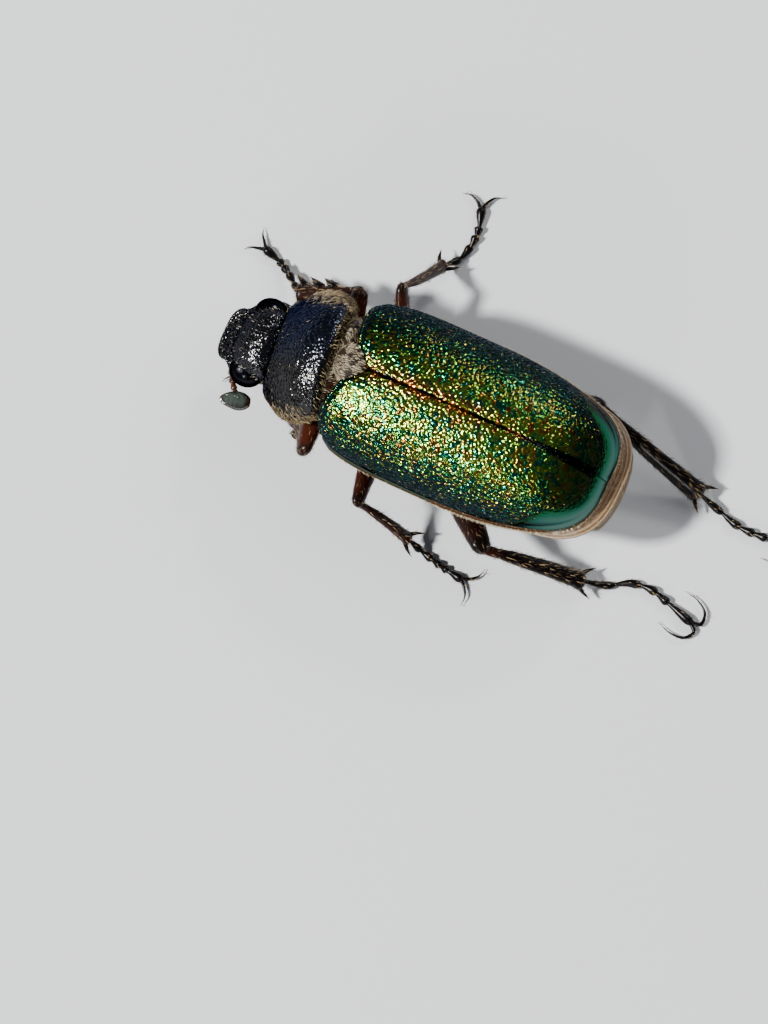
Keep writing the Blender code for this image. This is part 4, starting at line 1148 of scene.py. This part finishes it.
feelers = {
    "left": {
        "stalk": [
            (0.85, -3.4, 1.98),
            (1.3, -3.4, 1.72),
            (1.66, -3.15, 1.72),
            (1.8, -2.85, 1.88),
            (1.82, -2.68, 2.02),
        ],
        "club": (0.32, -1.0, -0.05),
    },
    "right": {
        "stalk": [
            (-0.45, -3.4, 1.9),
            (-0.85, -3.3, 1.5),
            (-1.02, -3.1, 1.32),
            (-1.05, -2.95, 1.22),
            (-1.05, -2.85, 1.16),
        ],
        "club": (0.15, -0.85, -0.5),
    },
    "joints": [
        (0.0, 0.34, 1.35),
        (0.32, 0.46, 1.0),
        (0.44, 0.58, 0.8),
        (0.56, 0.7, 0.76),
        (0.68, 0.8, 0.78),
        (0.78, 0.9, 0.85),
        (0.88, 1.0, 1.0),
    ],
    "radius": 0.12,
    "clubLength": 0.84,
    "spread": 15,
    "leaf": (0.085, 0.24),
}


def makeFeeler(side):
    shape = feelers[side]
    grids = jointed(shape["stalk"], feelers["joints"], feelers["radius"], 0.7)
    tints = [np.full(len(grid), 0.1) for grid in grids]
    along = Vector(shape["club"]).normalized()
    up = Vector((0, 0, 1))
    thin = (up - up.dot(along) * along).normalized()
    frame = Matrix((thin, along.cross(thin), along)).transposed().to_4x4()
    root = Matrix.Translation(shape["stalk"][-1]) @ frame
    around = 28
    for spread in (-1, 0, 1):
        turn = root @ Matrix.Rotation(math.radians(feelers["spread"] * spread), 4, "Y")
        length = feelers["clubLength"] * (1 - 0.04 * abs(spread))
        share = np.linspace(0, 1, 36)
        route = np.c_[0.07 * spread + 0.05 * spread * share**2, 0 * share, length * share - 0.06]
        wide = feelers["leaf"][1] * np.sin(np.pi * (0.06 + 0.94 * share) ** 0.8).clip(0.02) ** 0.6
        leaf = sweep(route, wide, feelers["leaf"][0] / feelers["leaf"][1], (1, 0, 0), around)
        grids.append(moved(leaf, turn))
        # a painted highlight along the middle of each leaf, darker at its edges; brown at its tip
        middle = 1 - 0.6 * np.abs(np.cos(fullTurn(around))) ** 3
        tone = 0.3 + 0.7 * ramp(share, 0.0, 0.3) - ramp(share, 0.86, 0.98)
        tints.append(np.outer(tone, middle).ravel())
    name = "antenna" + side.title()
    return addObject(name, buildMesh(name, grids, tints), feelerBrown)


feelerPieces = {side: makeFeeler(side) for side in ("left", "right")}
print("head, eyes, mouth and feelers")


# Legs

legSizes = {
    "front": {
        "thigh": 0.8, "shin": 0.56, "flat": 0.68, "spurs": 1,
        "coxa": (0.46, 0.42, 0.46),
        "thighTint": (0.5, 0.02),
        "shinTint": (0.5, 0.35),
    },
    "mid": {
        "thigh": 0.66, "shin": 0.37, "flat": 0.76, "spurs": 2,
        "coxa": (0.46, 0.42, 0.38),
        "thighTint": (0.5, 0.12),
        "shinTint": (0.05, 0.25),
    },
    "hind": {
        "thigh": 0.96, "shin": 0.58, "flat": 0.72, "spurs": 2,
        "coxa": (0.8, 0.46, 0.36),
        "thighTint": (0.8, 0.4),
        "shinTint": (0.1, 0.8),
    },
    "thighFlat": 0.7,
    "footRadius": 0.135,
    "footHeight": 0.135,
    "bow": {"thigh": 0.05, "shin": -0.04},
    "spurLength": 0.46,
    "spurRadius": 0.07,
    # teeth of the front shins: place along the shin and reach
    "teeth": [(0.52, 0.12), (0.74, 0.17), (0.96, 0.27)],
    "toothRadius": 0.15,
    "clawRadius": 0.06,
    # places along the limb and how wide it is there
    "thighShape": [
        (-0.06, 0.12),
        (-0.03, 0.36),
        (0.02, 0.52),
        (0.12, 0.76),
        (0.35, 1.0),
        (0.6, 0.96),
        (0.8, 0.79),
        (0.93, 0.68),
        (1.0, 0.56),
        (1.04, 0.3),
        (1.05, 0.1),
    ],
    "shinShape": [
        (-0.05, 0.1),
        (-0.03, 0.34),
        (0.02, 0.52),
        (0.08, 0.56),
        (0.14, 0.55),
        (0.3, 0.7),
        (0.6, 0.86),
        (0.9, 1.0),
        (0.98, 0.98),
        (1.0, 0.7),
    ],
    "footJoints": [
        (0.0, 0.275, 0.86),
        (0.26, 0.485, 0.92),
        (0.47, 0.625, 0.95),
        (0.61, 0.745, 0.95),
        (0.73, 1.0, 1.0),
    ],
    "claws": {
        "front": [(0.12, 0.13), (0.3, 0.26), (0.4, 0.4)],
        "mid": [(0.14, 0.14), (0.3, 0.34), (0.34, 0.6)],
        "hind": [(0.16, 0.14), (0.07, 0.42), (-0.3, 0.58), (-0.76, 0.56)],
    },
}

legs = {
    "front_left": {
        "hip": (0.66, -1.14, 1.42),
        "knee": (2.44, -0.66, 2.1),
        "ankle": (1.1, -1.7, 0.72),
        "foot": [(0.92, -2.25, 0.3), (0.85, -2.8, 0.0), (0.9, -3.6, 0.0)],
    },
    "front_right": {
        "hip": (-0.46, -1.14, 1.42),
        "knee": (-2.21, -1.13, 2.2),
        "ankle": (-1.64, -2.9, 1.0),
        "foot": [(-2.1, -3.48, 0.45), (-2.38, -3.95, 0.0), (-2.58, -4.55, 0.0)],
    },
    "mid_left": {
        "hip": (0.72, 0.85, 1.12),
        "knee": (3.12, 1.34, 2.4),
        "ankle": (3.25, 2.76, 0.6),
        "foot": [(3.36, 3.2, 0.22), (3.48, 3.75, 0.0), (3.6, 4.5, 0.0)],
    },
    "mid_right": {
        "hip": (-0.72, 0.85, 1.12),
        "knee": (-2.74, -0.12, 2.4),
        "ankle": (-4.11, 0.32, 0.5),
        "foot": [(-4.54, 0.6, 0.2), (-4.97, 0.7, 0.0), (-5.43, 0.7, 0.0), (-6.1, 0.5, 0.0)],
    },
    "hind_left": {
        "hip": (0.95, 2.95, 1.18),
        "knee": (2.87, 4.93, 2.35),
        "ankle": (2.29, 7.53, 0.42),
        "foot": [(2.09, 8.14, 0.0), (1.77, 8.71, 0.0), (1.7, 9.24, 0.0), (1.86, 9.9, 0.0), (2.1, 10.7, 0.0)],
    },
    "hind_right": {
        "hip": (-0.95, 2.95, 1.18),
        "knee": (-2.05, 6.1, 1.7),
        "ankle": (-1.19, 9.44, 0.42),
        "foot": [(-1.02, 10.11, 0.0), (-0.85, 10.78, 0.0), (-0.86, 11.28, 0.0), (-0.95, 12.3, 0.0)],
    },
}


def limbGrid(start, end, shape, width, flat, normal, bow):
    share = np.linspace(shape[0][0], shape[-1][0], 60)
    route = start + (end - start) * share[:, None]
    side = unit(np.cross(unit(end - start), normal))
    route = route + bow * np.sin(np.pi * share.clip(0, 1))[:, None] * side
    return sweep(route, smoothAt(shape, share)[:, 0] * width / 2, flat, normal, 32), share


def thorn(root, tip, radius, around=10, bend=(0, 0, 0)):
    share = np.linspace(0, 1, 12)
    route = root + (tip - root) * share[:, None] + np.sin(np.pi * share)[:, None] * np.array(bend)
    return sweep(route, radius * (1 - share**1.4).clip(0.06), 1.0, (0.3, 0.2, 0.9), around)


def makeLeg(place):
    pair = place.split("_")[0]
    size, joints = legSizes[pair], legs[place]
    hip, knee, ankle = (np.array(joints[key]) for key in ("hip", "knee", "ankle"))
    normal = unit(np.cross(knee - hip, ankle - knee))
    pieces = {}
    coxa = ellipsoid(size["coxa"]) + hip + (0, 0, 0.12)
    pieces["coxa"] = ([coxa], [np.full(len(coxa), 0.5)])
    form = legSizes["thighShape"], size["thigh"], legSizes["thighFlat"]
    thigh, share = limbGrid(hip, knee, *form, normal, legSizes["bow"]["thigh"])
    ring = ellipsoid((0.2, 0.2, 0.2), 24, 24) + hip + 0.08 * (knee - hip) - (0, 0, 0.06)
    # translucent red near the knee on the front and middle legs, black brown on the hind ones
    base, end = size["thighTint"]
    tint = base + (end - base) * ramp(share, 0.35, 0.75) + 0.35 * ramp(share, 0.88, 1.0)
    pieces["femur"] = ([thigh, ring], [tint, np.full(len(ring), 0.7)])
    form = legSizes["shinShape"], size["shin"], size["flat"]
    shin, share = limbGrid(knee, ankle, *form, normal, legSizes["bow"]["shin"])
    near, far = size["shinTint"]
    grids, tints = [shin], [near + (far - near) * ramp(share, 0.05, 0.3)]
    half = size["shin"] / 2
    level = unit((ankle - knee) * (1, 1, 0))
    aside = np.cross(level, (0, 0, 1))
    length = np.linalg.norm(ankle - knee)
    along = unit(ankle - knee)
    for number in range(size["spurs"]):
        side = 1 if number else -1
        root = ankle - 0.12 * along + side * 0.55 * half * aside
        tip = root + legSizes["spurLength"] * (0.8 * level + 0.6 * side * aside)
        tip[2] = max(tip[2] - 0.15, 0.1)
        grids.append(thorn(root, tip, legSizes["spurRadius"], 10, 0.03 * side * aside))
        tints.append(np.full(12, 0.6))
    if pair == "front":
        outer = np.cross(along, normal)
        for spot, reach in legSizes["teeth"]:
            root = knee + along * length * (spot - 0.1) + outer * half * 0.5
            tip = knee + along * length * (spot + 0.06) + outer * (half + reach)
            grids.append(thorn(root, tip, legSizes["toothRadius"], 14))
            tints.append(np.full(12, 0.95))
    pieces["tibia"] = (grids, tints)
    low = legSizes["footHeight"]
    route = [ankle * (1, 1, 0.94)] + [np.array((x, y, max(z * 0.85, low))) for x, y, z in joints["foot"]]
    grids = jointed(route, legSizes["footJoints"], legSizes["footRadius"], 0.45)
    tints = [np.full(len(grid), 0.9) for grid in grids]
    along = unit(route[-1] - route[-2])
    aside = np.cross(along, (0, 0, 1))
    for side in (1, -1):
        bends = [route[-1] - 0.1 * along]
        bends += [route[-1] + a * along + side * o * aside for a, o in legSizes["claws"][pair]]
        bends[-1] = bends[-1] - (0, 0, 0.06)
        widths = legSizes["clawRadius"] * (1 - np.linspace(0, 1, 30) ** 1.3).clip(0.12)
        grids.append(sweep(smoothRoute(bends, 30), widths, 0.8, (0, 0, 1), 12))
        tints.append(np.full(30, 0.8))
    pieces["tarsus"] = (grids, tints)
    made = {}
    for part, (grids, tints) in pieces.items():
        name = f"{part}_{place}"
        material = bellyDark if part == "coxa" else legBrown
        made[part] = addObject(name + "_skin", buildMesh(name, grids, tints), material)
    return made


legPieces = {place: makeLeg(place) for place in legs}
print("legs")


# Hair

strandShape = {"lift": 0.3, "spread": 0.4, "tilt": 0.3}
loose = {"lift": 0.5, "spread": 0.5, "tilt": 0.4}
bristle = {"density": 90, "radius": 0.0075, "lift": 0.8, "spread": 0.5, "seed": 29}
# strands to the square millimetre, and sizes in millimetres; what isn't given here comes from strandShape
hairSizes = {
    "neck": {"density": 900, "length": 0.17, "radius": 0.0055, "seed": 3},
    "head": {"density": 110, "length": 0.12, "radius": 0.0055, **loose, "seed": 5},
    "collar": {"density": 1100, "length": 0.17, "radius": 0.007, "seed": 7},
    "shield": {"density": 1400, "length": 0.14, "radius": 0.006, "seed": 8},
    "case": {"density": 14, "length": 0.09, "radius": 0.0035, "lift": 0.35, "seed": 11},
    "fringe": {"density": 1500, "length": 0.13, "radius": 0.0055, "spread": 0.5, "seed": 13},
    "tail": {"density": 900, "length": 0.2, "radius": 0.005, "lift": 0.12, "tilt": 0.12, "seed": 17},
    "belly": {"density": 170, "length": 0.2, "radius": 0.006, "spread": 0.5, "seed": 19},
    "breast": {"density": 260, "length": 0.3, "radius": 0.007, **loose, "seed": 23},
    "femur": {**bristle, "length": 0.16},
    "tibia": {**bristle, "length": 0.2},
    "tarsus": {**bristle, "length": 0.12},
}
bristleShare = {"femur": 0.8, "tibia": 1.2, "tarsus": 0.9}
limbParts = (("femur", "hip", "knee"), ("tibia", "knee", "ankle"), ("tarsus", "ankle", None))


def clumps(co, size):
    # thick tufts with bare skin between them
    x, y = co[:, 0] / size, co[:, 1] / size
    wave = np.sin(13 * x + 2.3 * np.sin(9 * y)) * np.sin(15 * y + 1.9 * np.sin(11 * x + 1.3))
    return 0.02 + 0.98 * ramp(wave, -0.3, 0.5)


def makeCoats():
    co = pointsOf(neckPiece)
    local = moved(co, neckShieldTurn().inverted())
    left, right = local[:, 0], -local[:, 0]
    hair = 0.015 + 0.5 * ramp(left, 1.45, 1.8) + 0.9 * ramp(right, 1.15, 1.6) * ramp(local[:, 1], -2.2, -1.6)
    hair += 0.25 * ramp(local[:, 1], -0.92, -0.75)
    hair = np.clip(hair, 0, 1) * ramp(co[:, 2], 1.6, 2.2)
    away = np.c_[0.25 * np.sign(left), np.ones(len(co)), np.full(len(co), -0.25)]
    addCoat("neckShieldHair", neckPiece, goldHair, "dark_cuticle", "neck", hair, away)

    hair = 0.3 + 0.7 * ramp(np.abs(headLocal[:, 0]), 0.6, 1.0)
    hair *= ramp(headLocal[:, 1], -0.3, 0.1)
    addCoat("headHair", headPiece, paleHair, "dark_cuticle", "head", hair, (0, -0.5, -0.4))

    co = pointsOf(breast)
    onCollar = (co[:, 1] < 0.32) & (co[:, 2] > 3.0) & (np.abs(co[:, 0]) < 1.4)
    tufted = onCollar * clumps(co, 1.7) * (1 - 0.85 * bell(co[:, 0], 1.05, 0.2))
    swirl = np.c_[0.8 * np.sin(5 * co[:, 1] + 3 * co[:, 0]), np.ones(len(co)), np.full(len(co), 0.1)]
    addCoat("collarFelt", breast, feltHair, "underside", "collar", tufted, swirl)
    below = ramp(-co[:, 2], -2.55, -2.3) * (co[:, 1] > -0.1)
    addCoat("breastHair", breast, paleHair, "underside", "breast", below, (0, 1, -0.3))

    co = pointsOf(shieldPiece)
    tufted = ramp(co[:, 2], 3.95, 4.05) * clumps(co, 1.5)
    addCoat("smallShieldFelt", shieldPiece, feltHair, "dark_cuticle", "shield", tufted, (0, 1, 0))

    co = pointsOf(belly)
    below = ramp(-co[:, 2], -2.7, -2.5)
    onLeft = co[:, 0] >= 0
    for side, share in (("Left", onLeft), ("Right", ~onLeft)):
        addCoat(f"bellyHair{side}", belly, paleHair, "underside", "belly", below * share, (0, 1, -0.1))

    co = pointsOf(tail)
    out = ramp(co[:, 1], 6.2, 7.0) * (0.35 + 0.65 * ramp(-co[:, 2], -2.8, -2.5))
    swept = np.c_[-np.sign(co[:, 0]) * (co[:, 1] - 5.6), np.abs(co[:, 0]), 0 * co[:, 0] - 0.1]
    addCoat("tailPlateHair", tail, creamHair, "pygidium", "tail", out, swept)

    for piece, name, side in ((wingCases[0], "Left", 1), (wingCases[1], "Right", -1)):
        co = pointsOf(piece)
        rim = np.zeros(len(co), np.float32)
        piece.data.attributes["tint"].data.foreach_get("value", rim)
        outside = np.zeros(len(co), np.float32)
        piece.data.attributes["grain"].data.foreach_get("value", outside)
        hair = outside * (0.25 + ramp(co[:, 1], 5.0, 7.0) + 0.8 * ramp(np.abs(co[:, 0]), 1.6, 2.1))
        addCoat(f"wingCaseHair{name}", piece, goldHair, "elytra", "case", hair, (0.15 * side, 1, -0.1))
        low = co[:, 2] < caseEdge(co[:, 1]) + 0.03
        outermost = np.abs(co[:, 0]) > np.maximum(0.1, caseHalfWidth(co[:, 1]) - 0.05)
        edge = (rim > 0.5) & low & outermost
        hair = edge * (0.25 + 0.75 * ramp(co[:, 1], 2.5, 5.0))
        away = np.c_[np.full(len(co), 0.9 * side), 0.2 + 1.2 * ramp(co[:, 1], 5.5, 7.2), np.full(len(co), -0.5)]
        addCoat(f"wingCaseFringe{name}", piece, feltHair, "elytra", "fringe", hair, away)

    for place, pieces in legPieces.items():
        joints = legs[place]
        for part, low, high in limbParts:
            start = np.array(joints[low])
            end = np.array(joints[high]) if high else np.array(joints["foot"][-1])
            lie = unit(end - start) * 0.8 + (0, 0, 0.05)
            hair = np.full(len(pieces[part].data.vertices), bristleShare[part])
            addCoat(f"{part}_{place}_bristles", pieces[part], darkBristle, "brown_cuticle", part, hair, lie)


makeCoats()

# Placing the pieces on the model

placed = (
    (wingCases[0], "elytra", "elytron_left"),
    (wingCases[1], "elytra", "elytron_right"),
    (breast, "underside", "thorax"),
    (belly, "underside", "abdomen"),
    (tail, "pygidium", "pygidium"),
    (shieldPiece, "dark_cuticle", "scutellum"),
    (neckPiece, "dark_cuticle", "prothorax"),
    (headPiece, "dark_cuticle", "head"),
    (eyePieces[0], "eyes", "eye_left"),
    (eyePieces[1], "eyes", "eye_right"),
    (mouthPieces[0], "brown_cuticle", "mouthparts"),
    (mouthPieces[1], "antennae", "palp_left"),
    (mouthPieces[2], "antennae", "palp_right"),
    (feelerPieces["left"], "antennae", "antenna_left"),
    (feelerPieces["right"], "antennae", "antenna_right"),
)
for piece, slot, node in placed:
    placePiece(piece, slot, node)
for place, pieces in legPieces.items():
    for part, piece in pieces.items():
        slot = {"coxa": "underside", "tarsus": "feet"}.get(part, "brown_cuticle")
        placePiece(piece, slot, f"{part}_{place}")


# Floor, light and camera

studio = {
    "floor": "#C0C1C2",
    "world": "#C6D2EA",
    "worldStrength": 0.18,
    "middle": (0, 2.5, 2.5),
    # each light: where it comes from, its distance and size in metres, its power in watts
    "lights": {
        "key": ((0.36, -0.52, 0.78), 0.35, 0.034, 3.3),
        "fill": ((-0.6, 0.5, 0.7), 0.4, 0.35, 0.8),
        "left": ((0.9, 0.15, 0.5), 0.35, 0.04, 0.35),
        "right": ((-0.8, 0.1, 0.6), 0.35, 0.04, 0.4),
    },
}


def makeStudio():
    bpy.ops.mesh.primitive_plane_add(size=2.0)
    floor = bpy.context.active_object
    floor.name = "studioFloor"
    # Matt uncoated paper: an even pale grey with no mirror of the lights.
    settings = {"Roughness": 0.9, "Base Color": studio["floor"]}
    floor.data.materials.append(newMaterial("matt pale paper", settings)[0])
    world = bpy.data.worlds.new("studio")
    bpy.context.scene.world = world
    world.use_nodes = True
    background = world.node_tree.nodes["Background"]
    background.inputs["Color"].default_value = hexColour(studio["world"])
    background.inputs["Strength"].default_value = studio["worldStrength"]
    centre = toFrame @ Vector(studio["middle"])
    for name, (source, distance, size, power) in studio["lights"].items():
        light = bpy.data.lights.new(name, "AREA")
        light.size = size
        light.energy = power
        lamp = bpy.data.objects.new(name, light)
        bpy.context.scene.collection.objects.link(lamp)
        way = Vector(source).normalized()
        lamp.location = centre + way * distance
        lamp.rotation_euler = way.to_track_quat("Z", "Y").to_euler()
        # the broad fill softens the shadows and leaves no film of light on the polished parts
        lamp.visible_glossy = name != "fill"


view = {
    "from": (0.12, 0.165, 0.97),
    "up": (-0.9026, -0.4305, 0.0),
    "aim": (3.335, 2.48, 4.6),
    "distance": 110.0,
    "pixelsPerMm": 38.0,
    "imageHeight": 1024,
    "sensor": 36.0,
}


def makeCamera():
    back = Vector(view["from"]).normalized()
    up = Vector(view["up"])
    up = (up - up.dot(back) * back).normalized()
    frame = Matrix((up.cross(back), up, back)).transposed().to_4x4()
    data = bpy.data.cameras.new("camera")
    data.sensor_fit = "VERTICAL"
    data.sensor_height = view["sensor"]
    data.lens = view["sensor"] * view["distance"] / (view["imageHeight"] / view["pixelsPerMm"])
    data.clip_start = 0.01
    camera = bpy.data.objects.new("camera", data)
    bpy.context.scene.collection.objects.link(camera)
    place = Vector(view["aim"]) + back * view["distance"]
    camera.matrix_world = Matrix.Translation(toFrame @ place) @ frame
    bpy.context.scene.camera = camera


makeStudio()
makeCamera()
print("studio and camera")
